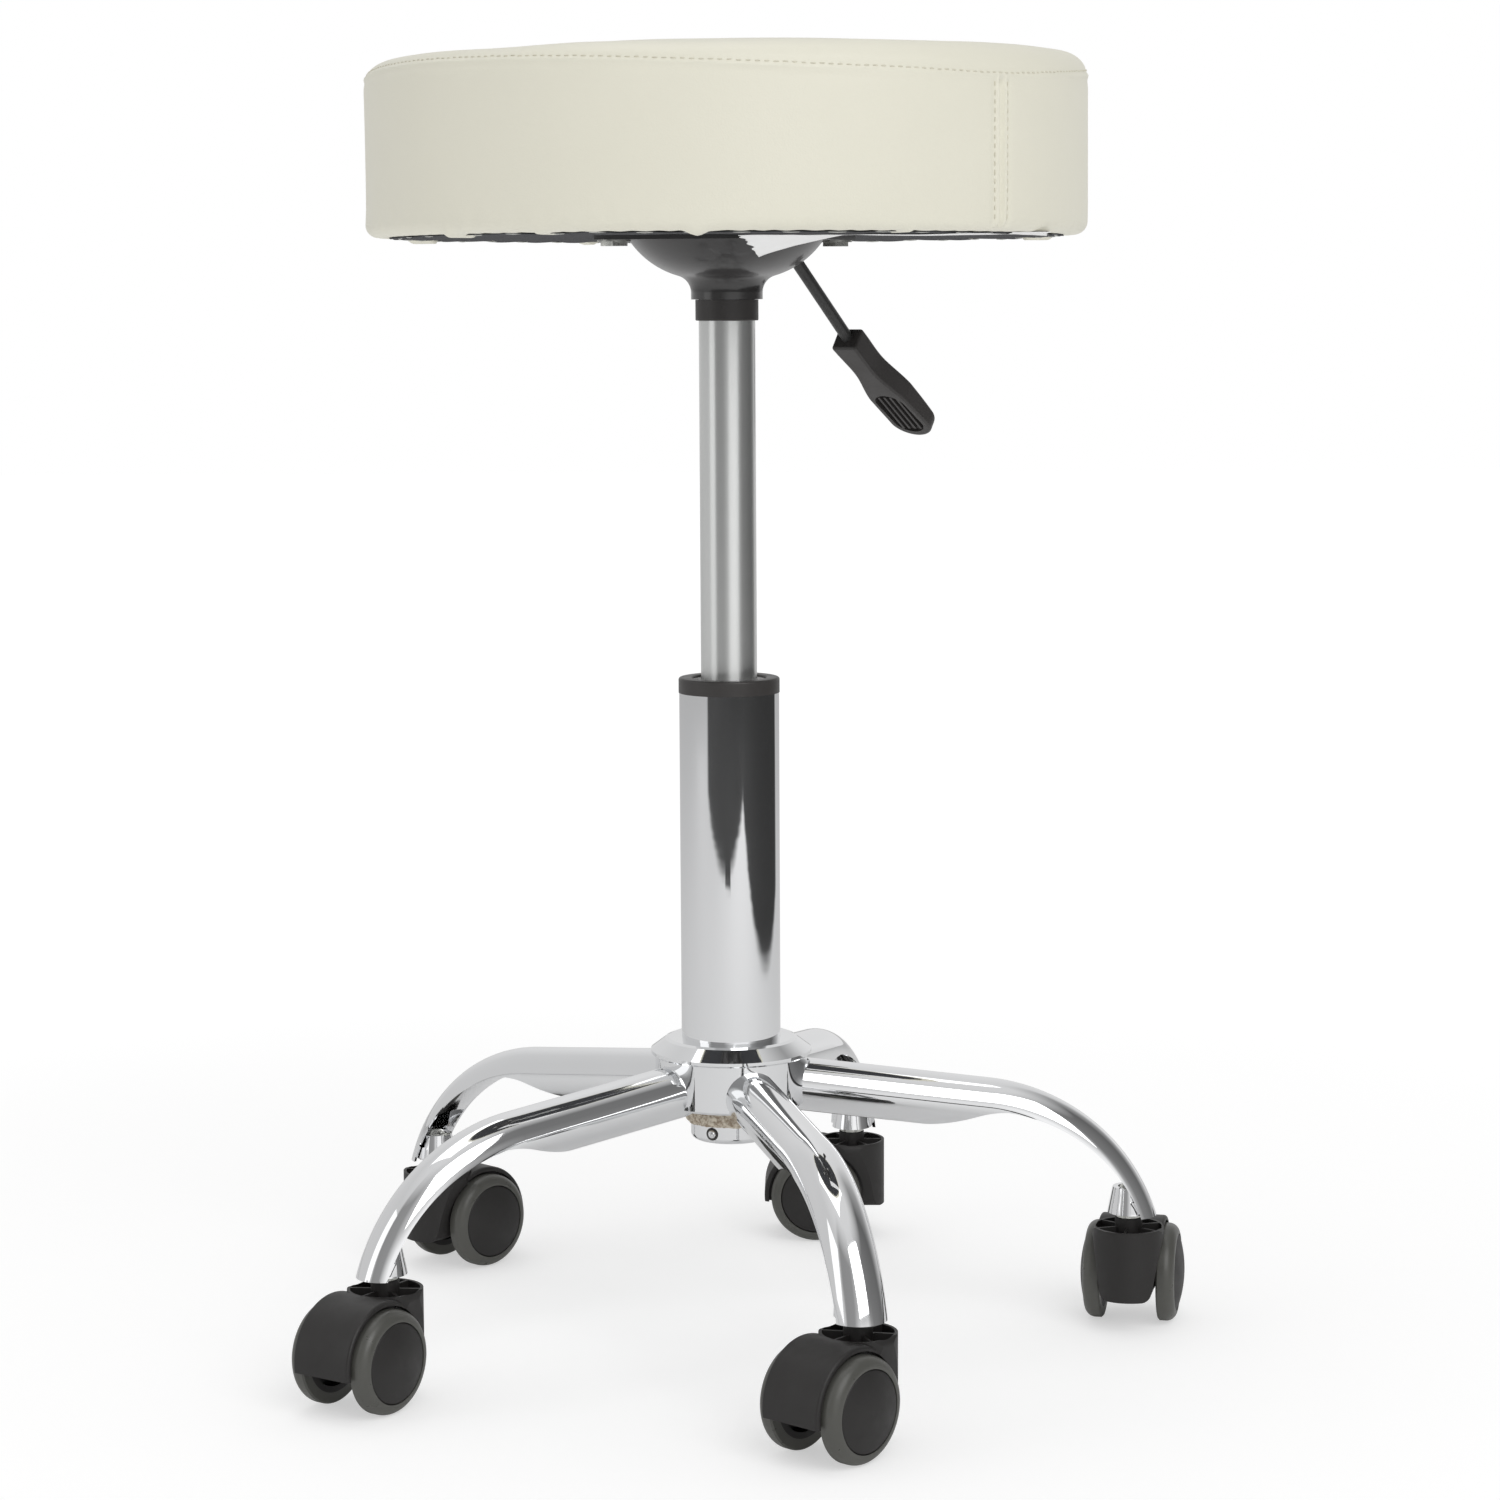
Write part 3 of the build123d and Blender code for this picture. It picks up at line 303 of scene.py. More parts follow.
class Surface:
    """A principled material and the procedural nodes that the finishes below share."""

    def __init__(self, name, colour, roughness, metallic=0.0, **sockets):
        self.material = bpy.data.materials.new(name)
        self.material.use_nodes = True
        self.tree = self.material.node_tree
        self.shader = self.tree.nodes["Principled BSDF"]
        self.shader.inputs["Base Color"].default_value = (*colour, 1)
        self.shader.inputs["Roughness"].default_value = roughness
        self.shader.inputs["Metallic"].default_value = metallic
        for socket, value in sockets.items():
            self.shader.inputs[socket.replace("_", " ")].default_value = value
        self.coords = self.tree.nodes.new("ShaderNodeTexCoord")
        self.normal = None

    def noise(self, scale, detail=4, roughness=0.55, stretch=(1, 1, 1)):
        mapping = self.tree.nodes.new("ShaderNodeMapping")
        mapping.inputs["Scale"].default_value = stretch
        link_nodes(self.tree, self.coords, "Object", mapping, "Vector")
        texture = self.tree.nodes.new("ShaderNodeTexNoise")
        texture.inputs["Scale"].default_value = scale
        texture.inputs["Detail"].default_value = detail
        texture.inputs["Roughness"].default_value = roughness
        link_nodes(self.tree, mapping, "Vector", texture, "Vector")
        return texture.outputs["Fac"]

    def cells(self, scale):
        texture = self.tree.nodes.new("ShaderNodeTexVoronoi")
        texture.inputs["Scale"].default_value = scale
        link_nodes(self.tree, self.coords, "Object", texture, "Vector")
        return texture.outputs["Distance"]

    def spread(self, value, low, high, to_low, to_high):
        return ranged(self.tree, value, low, high, to_low, to_high)

    def mix(self, amount, first, second):
        return mixed(self.tree, amount, first, second)

    def feed(self, socket, value):
        self.tree.links.new(value, self.shader.inputs[socket])

    def bump(self, height, strength, distance):
        node = self.tree.nodes.new("ShaderNodeBump")
        node.inputs["Strength"].default_value = strength
        node.inputs["Distance"].default_value = distance
        self.tree.links.new(height, node.inputs["Height"])
        if self.normal is not None:
            self.tree.links.new(self.normal, node.inputs["Normal"])
        self.normal = node.outputs["Normal"]
        self.feed("Normal", self.normal)


def chrome():
    """Mirror plate with faint smears and a very slight ripple."""
    s = Surface("chrome_plate", (0.86, 0.87, 0.88), 0.04, 1.0)
    smear = s.noise(28, 5, 0.6, (1, 1, 0.4))
    s.feed("Roughness", s.spread(smear, 0.35, 0.75, 0.025, 0.085))
    s.feed("Base Color", s.mix(s.noise(9, 3), (0.84, 0.85, 0.86), (0.90, 0.90, 0.91)))
    s.bump(s.noise(55, 2), 0.06, 0.0004)
    return s.material


def satin_steel():
    """Ground gas cylinder: grinding marks run round it, so lights smear along it."""
    s = Surface("satin_steel", (0.60, 0.61, 0.60), 0.3, 1.0, Anisotropic=0.85, Anisotropic_Rotation=0.25)
    tangent = s.tree.nodes.new("ShaderNodeTangent")
    tangent.direction_type = "RADIAL"
    tangent.axis = "Z"
    s.feed("Tangent", tangent.outputs["Tangent"])
    rings = s.noise(20, 3, 0.6, (1, 1, 60))
    streaks = s.noise(30, 3, 0.5, (8, 8, 0.3))
    s.feed("Roughness", s.spread(rings, 0.3, 0.7, 0.28, 0.31))
    s.feed("Base Color", s.mix(streaks, (0.73, 0.74, 0.73), (0.80, 0.81, 0.80)))
    s.bump(rings, 0.012, 0.00004)
    return s.material


def zinc():
    """Blotchy zinc plate."""
    s = Surface("zinc_plate", (0.62, 0.63, 0.60), 0.28, 1.0)
    s.feed("Base Color", s.mix(s.noise(160, 4), (0.52, 0.54, 0.52), (0.72, 0.71, 0.66)))
    s.feed("Roughness", s.spread(s.noise(300, 3), 0.3, 0.7, 0.18, 0.42))
    s.bump(s.noise(900, 2), 0.1, 0.0001)
    return s.material


def ground_steel():
    """Fine turned marks round the column's axis."""
    s = Surface("ground_steel", (0.6, 0.6, 0.61), 0.2, 1.0)
    s.feed("Roughness", s.spread(s.noise(120, 3, 0.5, (1, 1, 40)), 0.3, 0.7, 0.15, 0.3))
    return s.material


def moulded(name, light, dark, roughness, grain=2200, strength=0.25):
    """Moulded plastic: fine spark texture, slight mottling and scuffs."""
    s = Surface(name, dark, roughness)
    mottle = s.noise(35, 4)
    s.feed("Base Color", s.mix(mottle, dark, light))
    s.feed("Roughness", s.spread(s.noise(70, 4), 0.3, 0.7, roughness - 0.07, roughness + 0.09))
    s.bump(s.noise(grain, 2), strength, 0.0001)
    return s.material


def bowl_black():
    """Moulded bowl, smooth and slightly shiny, with faint handling marks."""
    s = Surface("bowl_black", (0.024, 0.022, 0.022), 0.28, Coat_Weight=0.8, Coat_Roughness=0.12)
    s.feed("Roughness", s.spread(s.noise(40, 3), 0.3, 0.7, 0.26, 0.36))
    s.feed("Base Color", s.mix(s.noise(14, 3), (0.018, 0.017, 0.017), (0.025, 0.023, 0.023)))
    s.bump(s.noise(1600, 1), 0.04, 0.0001)
    return s.material


def black_paint():
    """Black paint of the seat plate and the lever rod."""
    s = Surface("black_paint", (0.03, 0.03, 0.03), 0.38)
    s.feed("Base Color", s.mix(s.noise(40, 4), (0.022, 0.022, 0.022), (0.045, 0.044, 0.043)))
    s.bump(s.noise(700, 2), 0.15, 0.0002)
    return s.material


def tread():
    """Grey rubbery tyre, a little scuffed."""
    s = Surface("tread_grey", (0.075, 0.075, 0.067), 0.32)
    s.feed("Base Color", s.mix(s.noise(45, 4), (0.064, 0.064, 0.057), (0.088, 0.088, 0.079)))
    s.feed("Roughness", s.spread(s.noise(90, 4), 0.3, 0.7, 0.26, 0.44))
    s.bump(s.noise(500, 2), 0.1, 0.0002)
    return s.material


def plywood():
    """Birch plies with long grain."""
    s = Surface("birch_ply", (0.55, 0.42, 0.27), 0.6)
    s.feed("Base Color", s.mix(s.noise(14, 5, 0.6, (1, 9, 30)), (0.42, 0.30, 0.18), (0.64, 0.50, 0.33)))
    s.bump(s.noise(60, 4, 0.6, (1, 12, 1)), 0.2, 0.0004)
    return s.material


def filler():
    """Sandy filler, coarse and matt."""
    s = Surface("filler", (0.5, 0.44, 0.35), 0.8)
    grains = s.spread(s.noise(420, 6, 0.75), 0.42, 0.58, 0, 1)
    s.feed("Base Color", s.mix(grains, (0.26, 0.20, 0.14), (0.62, 0.56, 0.46)))
    s.bump(s.noise(260, 5, 0.7), 0.8, 0.0014)
    return s.material


def foam():
    """Open-celled upholstery foam."""
    s = Surface("foam", (0.8, 0.74, 0.55), 0.9)
    s.feed("Base Color", s.mix(s.noise(20, 3), (0.78, 0.72, 0.52), (0.84, 0.79, 0.62)))
    s.bump(s.cells(600), 0.5, 0.0006)
    return s.material


def vinyl(name, light, dark):
    """Soft matt upholstery vinyl: pebbled grain, fine creases, faint handling marks."""
    s = Surface(name, light, 0.5, Sheen_Weight=0.12, Sheen_Roughness=0.5)
    marks = s.noise(7, 4)
    s.feed("Base Color", s.mix(s.spread(marks, 0.3, 0.75, 0, 1), dark, light))
    s.feed("Roughness", s.spread(s.noise(26, 4), 0.3, 0.7, 0.44, 0.58))
    s.bump(s.cells(1100), 0.22, 0.00022)
    s.bump(s.noise(420, 4, 0.6), 0.2, 0.0003)
    s.bump(s.noise(60, 3, 0.5, (1, 1, 0.35)), 0.16, 0.0008)
    return s.material


def dust_cloth():
    """Non-woven charcoal cloth with pale speckles."""
    s = Surface("dust_cloth", (0.05, 0.05, 0.055), 0.9)
    fleck = s.spread(s.noise(900, 3, 0.7), 0.60, 0.72, 0, 1)
    s.feed("Base Color", s.mix(fleck, (0.035, 0.036, 0.04), (0.22, 0.22, 0.23)))
    s.bump(s.cells(420), 0.5, 0.0004)
    return s.material


def thread():
    """Twisted cream sewing thread."""
    s = Surface("stitch_thread", (0.62, 0.59, 0.48), 0.6)
    s.feed("Base Color", s.mix(s.noise(800, 2), (0.57, 0.54, 0.43), (0.67, 0.65, 0.54)))
    s.bump(s.noise(3000, 1, 0.5, (1, 1, 0.2)), 0.4, 0.0001)
    return s.material


def paper():
    """Slightly rumpled white paper."""
    s = Surface("blank_label", (0.86, 0.86, 0.85), 0.55)
    s.feed("Base Color", s.mix(s.noise(60, 5), (0.80, 0.80, 0.79), (0.90, 0.90, 0.90)))
    s.bump(s.noise(160, 4), 0.4, 0.0006)
    return s.material


BLACK_LIGHT, BLACK_DARK = (0.040, 0.0365, 0.035), (0.030, 0.0275, 0.0265)
NYLON_LIGHT, NYLON_DARK = (0.0170, 0.0155, 0.0148), (0.0125, 0.0114, 0.0109)
finishes = {
    "chrome": chrome(),
    "satin_steel": satin_steel(),
    "zinc_steel": zinc(),
    "bearing_steel": ground_steel(),
    "aluminium": ground_steel(),
    "black_plastic": moulded("black_plastic", BLACK_LIGHT, BLACK_DARK, 0.42, 1400, 0.04),
    "caster_nylon": moulded("caster_nylon", NYLON_LIGHT, NYLON_DARK, 0.5, 2200, 0.12),
    "bowl_black": bowl_black(),
    "tread_grey": tread(),
    "grey_plastic": moulded("grey_plastic", (0.36, 0.36, 0.36), (0.28, 0.28, 0.28), 0.4),
    "black_paint": black_paint(),
    "plywood": plywood(),
    "foam": foam(),
    "cream_vinyl": vinyl("cream_vinyl", (0.74, 0.722, 0.615), (0.715, 0.697, 0.588)),
    "dust_cloth": dust_cloth(),
    "filler": filler(),
}
thread_finish = thread()
paper_finish = paper()
slot_of = {entry["node"]: entry["material_slot"] for entry in frame["record"]["subparts"]}
for node_name, node in frame["nodes"].items():
    node.data.materials.clear()
    node.data.materials.append(finishes[slot_of[node_name]])

# ---------------------------------------------------------------- mesh helpers


def new_piece(name, mesh, material, body):
    """Link a smooth mesh as a piece that rides on a body."""
    for polygon in mesh.polygons:
        polygon.use_smooth = True
    mesh.materials.clear()
    mesh.materials.append(material)
    piece = bpy.data.objects.new(name, mesh)
    bpy.context.scene.collection.objects.link(piece)
    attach(piece, body)
    return piece


# ---------------------------------------------------------------- seat cushion

SEAM_AZIMUTH = math.radians(-43.0)  # where the side panel's ends are sewn together
cover_low, cover_high = (Vector(corner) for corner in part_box("seat_cover"))
SEAT_R = (cover_high.x - cover_low.x) / 2
SEAT_TOP = cover_high.z
SEAT_BOTTOM = cover_low.z
SEAM_Z = SEAT_TOP - 12.5 * MM  # the top seam would be here if it were level
SEAM_CREST = math.radians(-141)  # the top seam is highest here
CROWN_FLAT = 30 * MM  # radius of the crown's level middle
CROWN_DROP = 6.5 * MM  # from the middle of the top to the shoulder's start
SHOULDER_IN = 16 * MM  # from the side in to the shoulder's start
SHOULDER_DROP = 20.5 * MM  # from the middle of the top to the shoulder's end
SHOULDER_PULL = 9.5 * MM  # how far the shoulder's curve runs straight on at each end
EDGE_ROUND = 6 * MM
HEM = 18 * MM  # width of the cover turned under
COVER_THICK = 1.2 * MM
PADDING_GAP = 4 * MM  # from the crown to the cover's inside, which the padding fills
TOP_RINGS, SHOULDER_RINGS, SIDE_RINGS, EDGE_RINGS, HEM_RINGS = 44, 34, 36, 9, 5


def bezier(points, count):
    """Points on a cubic, the last left out."""
    a, b, c, d = (Vector(p) for p in points)
    line = []
    for i in range(count):
        t = i / count
        line.append(a * (1 - t) ** 3 + b * 3 * t * (1 - t) ** 2 + c * 3 * t * t * (1 - t) + d * t ** 3)
    return line


def seat_profile(inset=0.0):
    """Outside of the cushion from the middle of the top to the inner edge of the hem, as (radius, height)."""
    edge = SEAT_R - inset
    top = SEAT_TOP - inset
    shoulder = edge - SHOULDER_IN
    line = []
    for i in range(TOP_RINGS):
        r = shoulder * (i / TOP_RINGS) ** 0.9
        fall = max(0.0, r - CROWN_FLAT) / (shoulder - CROWN_FLAT)
        line.append(Vector((r, top - CROWN_DROP * fall ** 2)))
    start = Vector((shoulder, top - CROWN_DROP))
    end = Vector((edge, top - SHOULDER_DROP))
    lean = Vector((1, -0.1)) * SHOULDER_PULL
    line += bezier((start, start + lean, end + Vector((0, SHOULDER_PULL)), end), SHOULDER_RINGS)
    low_side = SEAT_BOTTOM + EDGE_ROUND
    for i in range(SIDE_RINGS):
        line.append(end.lerp(Vector((edge, low_side)), i / SIDE_RINGS))
    for i in range(EDGE_RINGS):
        turn = math.pi / 2 * i / EDGE_RINGS
        line.append(Vector((
            edge - EDGE_ROUND * (1 - math.cos(turn)), low_side - EDGE_ROUND * math.sin(turn)
        )))
    for i in range(HEM_RINGS):
        line.append(Vector((edge - EDGE_ROUND - (HEM - EDGE_ROUND) * i / (HEM_RINGS - 1), SEAT_BOTTOM)))
    return line


def ring_angles():
    """Angles round the seat, finer across the side seam."""
    angles = []
    angle = -math.pi
    while angle < math.pi - 1e-6:
        angles.append(angle)
        away = abs(angle - SEAM_AZIMUTH)
        angle += math.radians(0.16 if away < math.radians(3.2) else 0.7)
    return angles


def full_turn(step):
    """Angles round a full turn, a whole number of degrees apart."""
    return [math.radians(a) for a in range(-180, 180, step)]


def lathe(profile, angles):
    """(vertices, faces) of a profile turned round Z; a first or last point on the axis closes to a fan."""
    vertices, faces, rings = [], [], []
    for point in profile:
        if point[0] < 1e-7:
            rings.append([len(vertices)] * len(angles))
            vertices.append((0, 0, point[1]))
            continue
        rings.append([len(vertices) + i for i in range(len(angles))])
        vertices += [(point[0] * math.cos(a), point[0] * math.sin(a), point[1]) for a in angles]
    for upper, lower in zip(rings, rings[1:]):
        for i in range(len(angles)):
            j = (i + 1) % len(angles)
            corners = []
            for index in (upper[i], lower[i], lower[j], upper[j]):
                if index not in corners:
                    corners.append(index)
            if len(corners) > 2:
                faces.append(corners)
    return vertices, faces


SWELL_INSET = 2 * MM  # the simulated pad starts this much smaller
VOXEL = 5.5 * MM
PRESSURE = 4
SETTLE_FRAMES = 20


def simulate_swell():
    """The stuffed cover under pressure: its points' places, and how far each moves outward."""
    profile = seat_profile(SWELL_INSET)
    profile.append(Vector((0, SEAT_BOTTOM)))
    vertices, faces = lathe(profile, full_turn(3))
    mesh = bpy.data.meshes.new("swell")
    mesh.from_pydata(vertices, [], faces)
    blank = bpy.data.objects.new("swell", mesh)
    bpy.context.scene.collection.objects.link(blank)
    remesh = blank.modifiers.new("remesh", "REMESH")
    remesh.mode = "VOXEL"
    remesh.voxel_size = VOXEL
    even = bpy.data.meshes.new_from_object(blank.evaluated_get(bpy.context.evaluated_depsgraph_get()))
    blank.modifiers.clear()
    blank.data = even
    for vertex in even.vertices:
        uneven = noise.noise(vertex.co * 22) * 1.0 * MM
        vertex.co += vertex.co.normalized() * uneven
    held = blank.vertex_groups.new(name="held")
    for vertex in even.vertices:
        angle = math.atan2(vertex.co.y, vertex.co.x)
        weight = 0.0
        if vertex.co.z < SEAT_BOTTOM + 5 * MM:
            weight = 1.0
        elif abs(vertex.co.z - SEAM_Z) < 4 * MM:
            weight = 0.8
        elif abs(angle - SEAM_AZIMUTH) < math.radians(1.2) and vertex.co.z < SEAM_Z:
            weight = 0.6
        if weight:
            held.add([vertex.index], weight, "REPLACE")
    before = [vertex.co.copy() for vertex in even.vertices]
    normals = [vertex.normal.copy() for vertex in even.vertices]
    cloth = blank.modifiers.new("cloth", "CLOTH")
    cloth.settings.quality = 4
    cloth.settings.mass = 0.4
    cloth.settings.tension_stiffness = 18
    cloth.settings.compression_stiffness = 18
    cloth.settings.bending_stiffness = 2.5
    cloth.settings.use_pressure = True
    cloth.settings.uniform_pressure_force = PRESSURE
    cloth.settings.vertex_group_mass = "held"
    cloth.settings.effector_weights.gravity = 0
    cloth.collision_settings.use_collision = False
    cloth.point_cache.frame_start = 1
    cloth.point_cache.frame_end = SETTLE_FRAMES
    scene = bpy.context.scene
    for step in range(SETTLE_FRAMES):
        scene.frame_set(step + 1)
    after = blank.evaluated_get(bpy.context.evaluated_depsgraph_get()).data
    shifts = [(v.co - b).dot(n) for v, b, n in zip(after.vertices, before, normals)]
    bpy.data.objects.remove(blank)
    scene.frame_set(1)
    return before, shifts


def bell(distance, width):
    """Smooth bump: 1 at no distance, falling off over a width."""
    return math.exp(-((distance / width) ** 2))


def angle_gap(a, b):
    """Angle from b to a, at most half a turn either way."""
    return (a - b + math.pi) % (2 * math.pi) - math.pi


SWELL_LIMIT = 1.6 * MM
SWELL_NEIGHBOURS = 6
# Gathers that hang from the hem: azimuth in degrees, width and length in mm.
PUCKERS = ((-136.4, 3.4, 2.0), (-118.0, 2.2, 1.6), (-93.0, 4.0, 2.3), (-60.0, 1.8, 1.2), (20.0, 2.6, 1.8),
           (71.0, 2.2, 2.0), (118.0, 3.0, 1.7), (160.0, 2.4, 2.1))
TAUT_R = 128 * MM  # inside this the top panel is stretched almost smooth
TAUT_FADE = 30 * MM
FULL_SIDE = math.radians(8)  # the padding is fullest here at the rim, and slackest at the other place
SLACK_SIDE = math.radians(-122)


def clamped(value):
    return min(1.0, max(0.0, value))


def seam_height(angle):
    """The top seam isn't level: it falls from its crest to the side seam, where it has a kink."""
    wave = 4.2 * math.cos(2 * angle_gap(angle, SEAM_CREST)) - 5.0
    kink = 1.0 * bell(angle_gap(angle, SEAM_AZIMUTH), math.radians(12))
    return SEAM_Z + (wave - kink) * MM


def rim_lift(angle, radius, height):
    """Rise of the padding at its full side and its fall at the slack one, fading out down the side."""
    high = clamped((height - SEAT_TOP + 26 * MM) / (12 * MM))
    full = 3.0 * bell(angle_gap(angle, FULL_SIDE), math.radians(48)) * bell(radius - 168 * MM, 20 * MM)
    slack = 1.7 * bell(angle_gap(angle, SLACK_SIDE), math.radians(38)) * bell(radius - 140 * MM, 34 * MM)
    return high * (full - slack) * MM


def swell_lookup():
    places, shifts = simulate_swell()
    tree = KDTree(len(places))
    for i, place in enumerate(places):
        tree.insert(place, i)
    tree.balance()
    middle = sorted(shifts)[len(shifts) // 2]

    def swell(place):
        near = tree.find_n(place, SWELL_NEIGHBOURS)
        weights = [1 / (distance + 1 * MM) for _, _, distance in near]
        pull = sum(w * shifts[i] for w, (_, i, _) in zip(weights, near)) / sum(weights)
        return max(-SWELL_LIMIT, min(SWELL_LIMIT, pull - middle))

    return swell


def seam_relief(place, angle, radius):
    """Outward shift at the top seam's groove, the side seam's welt and its hollows, and above the hem."""
    from_seam = place.z - seam_height(angle)
    shift = (-0.6 * bell(from_seam, 0.8 * MM) + 0.3 * bell(from_seam + 2.4 * MM, 1.5 * MM)) * MM
    shift += 0.15 * MM * bell(from_seam - 2.4 * MM, 1.5 * MM)
    if from_seam < 0:
        across = angle_gap(angle, SEAM_AZIMUTH) * radius
        fade = min(1.0, -from_seam / (2 * MM))
        shift += fade * MM * (
            1.5 * bell(across, 1.5 * MM) - 0.9 * bell(across - 2.7 * MM, 0.7 * MM)
            - 0.9 * bell(across + 2.7 * MM, 0.7 * MM) + 0.5 * bell(abs(across) - 5 * MM, 1.6 * MM)
        )
    low_part = max(0.0, 1 - (place.z - SEAT_BOTTOM) / (16 * MM))
    return shift + low_part * 0.6 * MM * noise.noise(Vector((angle * 34, place.z * 40, 3.1)))


def hem_drop(place, angle):
    """How far the hem's small gathers and its puckers hang down at a place on the bottom edge."""
    depth = (SEAT_BOTTOM + EDGE_ROUND - place.z) / EDGE_ROUND
    gather = 0.35 * math.sin(angle * 95 + 4 * noise.noise(Vector((angle * 6, 1.0, 0)))) + 0.35
    drop = 0.5 * gather * depth
    for degrees, width, length in PUCKERS:
        away = angle_gap(angle, math.radians(degrees)) * SEAT_R / MM
        drop += length * depth * bell(away, width)
    return drop * MM


def build_cover():
    """Vinyl cover: swell from the simulation, then seams, welt and the gathers of the hem."""
    outer = seat_profile()
    angles = ring_angles()
    inner = [
        (SEAT_R - HEM, SEAT_BOTTOM + COVER_THICK), (SEAT_R - EDGE_ROUND, SEAT_BOTTOM + COVER_THICK),
        (SEAT_R - 2 * COVER_THICK, SEAT_BOTTOM + EDGE_ROUND), (SEAT_R - 2 * COVER_THICK, SEAT_TOP - 28 * MM),
        (SEAT_R - SHOULDER_IN, SEAT_TOP - 12 * MM), (CROWN_FLAT, SEAT_TOP - PADDING_GAP),
        (0, SEAT_TOP - PADDING_GAP),
    ]
    vertices, faces = lathe(outer + [Vector(p) for p in inner], angles)
    outer_count = 1 + (len(outer) - 1) * len(angles)
    mesh = bpy.data.meshes.new("seat_upholstery")
    mesh.from_pydata(vertices, [], [tuple(reversed(face)) for face in faces])
    mesh.update()
    swell = swell_lookup()
    normals = [vertex.normal.copy() for vertex in mesh.vertices]
    for index in range(outer_count):
        vertex = mesh.vertices[index]
        place = vertex.co.copy()
        angle = math.atan2(place.y, place.x)
        radius = math.hypot(place.x, place.y)
        side = clamped((place.z - SEAT_BOTTOM - 3 * MM) / (10 * MM))
        taut = 0.3 + 0.7 * clamped((radius - TAUT_R) / TAUT_FADE)
        uneven = noise.noise(Vector((place.x * 16, place.y * 16, place.z * 7))) * 0.9 * MM
        shift = (swell(place) + uneven) * side * taut
        if radius > SEAT_R - 22 * MM and place.z > SEAT_BOTTOM + 2 * MM:
            shift += seam_relief(place, angle, radius)
        vertex.co = place + normals[index] * shift
        vertex.co.z += rim_lift(angle, radius, place.z)
        if place.z < SEAT_BOTTOM + EDGE_ROUND:
            vertex.co.z -= hem_drop(place, angle)
    mesh.update()
    cover = new_piece("seat_upholstery", mesh, finishes["cream_vinyl"], "seat")
    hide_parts("seat_cover", "seat_foam")
    return cover


STITCH_LENGTH, STITCH_VARIES = 2.6, 0.25  # mm
STITCH_THICK = 0.32 * MM
STITCH_SIDES = 6
# (place along the stitch, share of its thickness, lift in thicknesses)
STITCH_STATIONS = (
    (-0.5, 0.35, -0.5), (-0.36, 0.85, 0.25), (0, 1.0, 0.5), (0.36, 0.85, 0.25), (0.5, 0.35, -0.5),
)
TOP_PITCH, SIDE_PITCH = 4.1 * MM, 4.0 * MM
STITCH_RISE, RISE_VARIES = 1.9, 0.12  # mm from the top seam up to its stitches
WELT_TO_STITCHES = 4.3 * MM
SIDE_ROW_START = 2.8 * MM  # from the top seam down to the first stitch of the side seam
RIM_R = SEAT_R - 4 * MM  # radius of the shoulder where the stitches run


def stitch(bm, middle, along, out, length, thick):
    """One stitch: a short thread, thick in the middle, its ends pulled into the vinyl."""
    side = along.cross(out).normalized()
    rings = []
    for place, swell, lift in STITCH_STATIONS:
        centre = middle + along * (place * length) + out * (lift * thick)
        ring = []
        for k in range(STITCH_SIDES):
            turn = 2 * math.pi * k / STITCH_SIDES
            offset = side * math.cos(turn) + out * math.sin(turn)
            ring.append(bm.verts.new(centre + offset * (swell * thick)))
        rings.append(ring)
    for a, b in zip(rings, rings[1:]):
        for k in range(STITCH_SIDES):
            after = (k + 1) % STITCH_SIDES
            bm.faces.new((a[k], a[after], b[after], b[k]))
    bm.faces.new(list(reversed(rings[0])))
    bm.faces.new(rings[-1])


def build_stitches(cover):
    """Rows of stitches above the top seam and on both sides of the welt, lying on the vinyl."""
    surface = BVHTree.FromObject(cover, bpy.context.evaluated_depsgraph_get())
    bm = bmesh.new()
    rng = random.Random(11)

    def lay(angle, height, along):
        outward = Vector((math.cos(angle), math.sin(angle), 0))
        start = outward * (SEAT_R + 30 * MM)
        start.z = height
        hit, normal, _, _ = surface.ray_cast(start, -outward)
        if hit is None:
            return
        if normal.dot(outward) < 0:
            normal = -normal
        direction = (along - normal * along.dot(normal)).normalized()
        length = (STITCH_LENGTH + rng.uniform(-STITCH_VARIES, STITCH_VARIES)) * MM
        stitch(bm, hit, direction, normal, length, STITCH_THICK)

    count = int(2 * math.pi * (SEAT_R - 3 * MM) / TOP_PITCH)
    for k in range(count):
        angle = -math.pi + 2 * math.pi * k / count
        around = Vector((-math.sin(angle), math.cos(angle), 0))
        height = seam_height(angle) + (STITCH_RISE + rng.uniform(-RISE_VARIES, RISE_VARIES)) * MM
        lay(angle, height + rim_lift(angle, RIM_R, height), around)
    for side in (-1, 1):
        angle = SEAM_AZIMUTH + side * WELT_TO_STITCHES / SEAT_R
        height = seam_height(angle) - SIDE_ROW_START
        while height > SEAT_BOTTOM + EDGE_ROUND:
            lay(angle, height, Vector((0, 0, 1)))
            height -= SIDE_PITCH
    mesh = bpy.data.meshes.new("seat_stitches")
    bm.to_mesh(mesh)
    bm.free()
    new_piece("seat_stitches", mesh, thread_finish, "seat")


# ---------------------------------------------------------------- underside of the seat

CLOTH_R = SEAT_R - 11.5 * MM
CLOTH_FLAT_R = 76 * MM  # the seat plate holds the cloth flat inside this
CLOTH_SAG = 1.3 * MM
FLAT_ROWS, SAGGING_ROWS = 8, 34
STAPLE_COUNT = 46
STAPLE_R = CLOTH_R - 3.5 * MM
STAPLE_LENGTH, STAPLE_THICK = 10.5 * MM, 0.5 * MM
CLOTH_THICK = 0.4 * MM


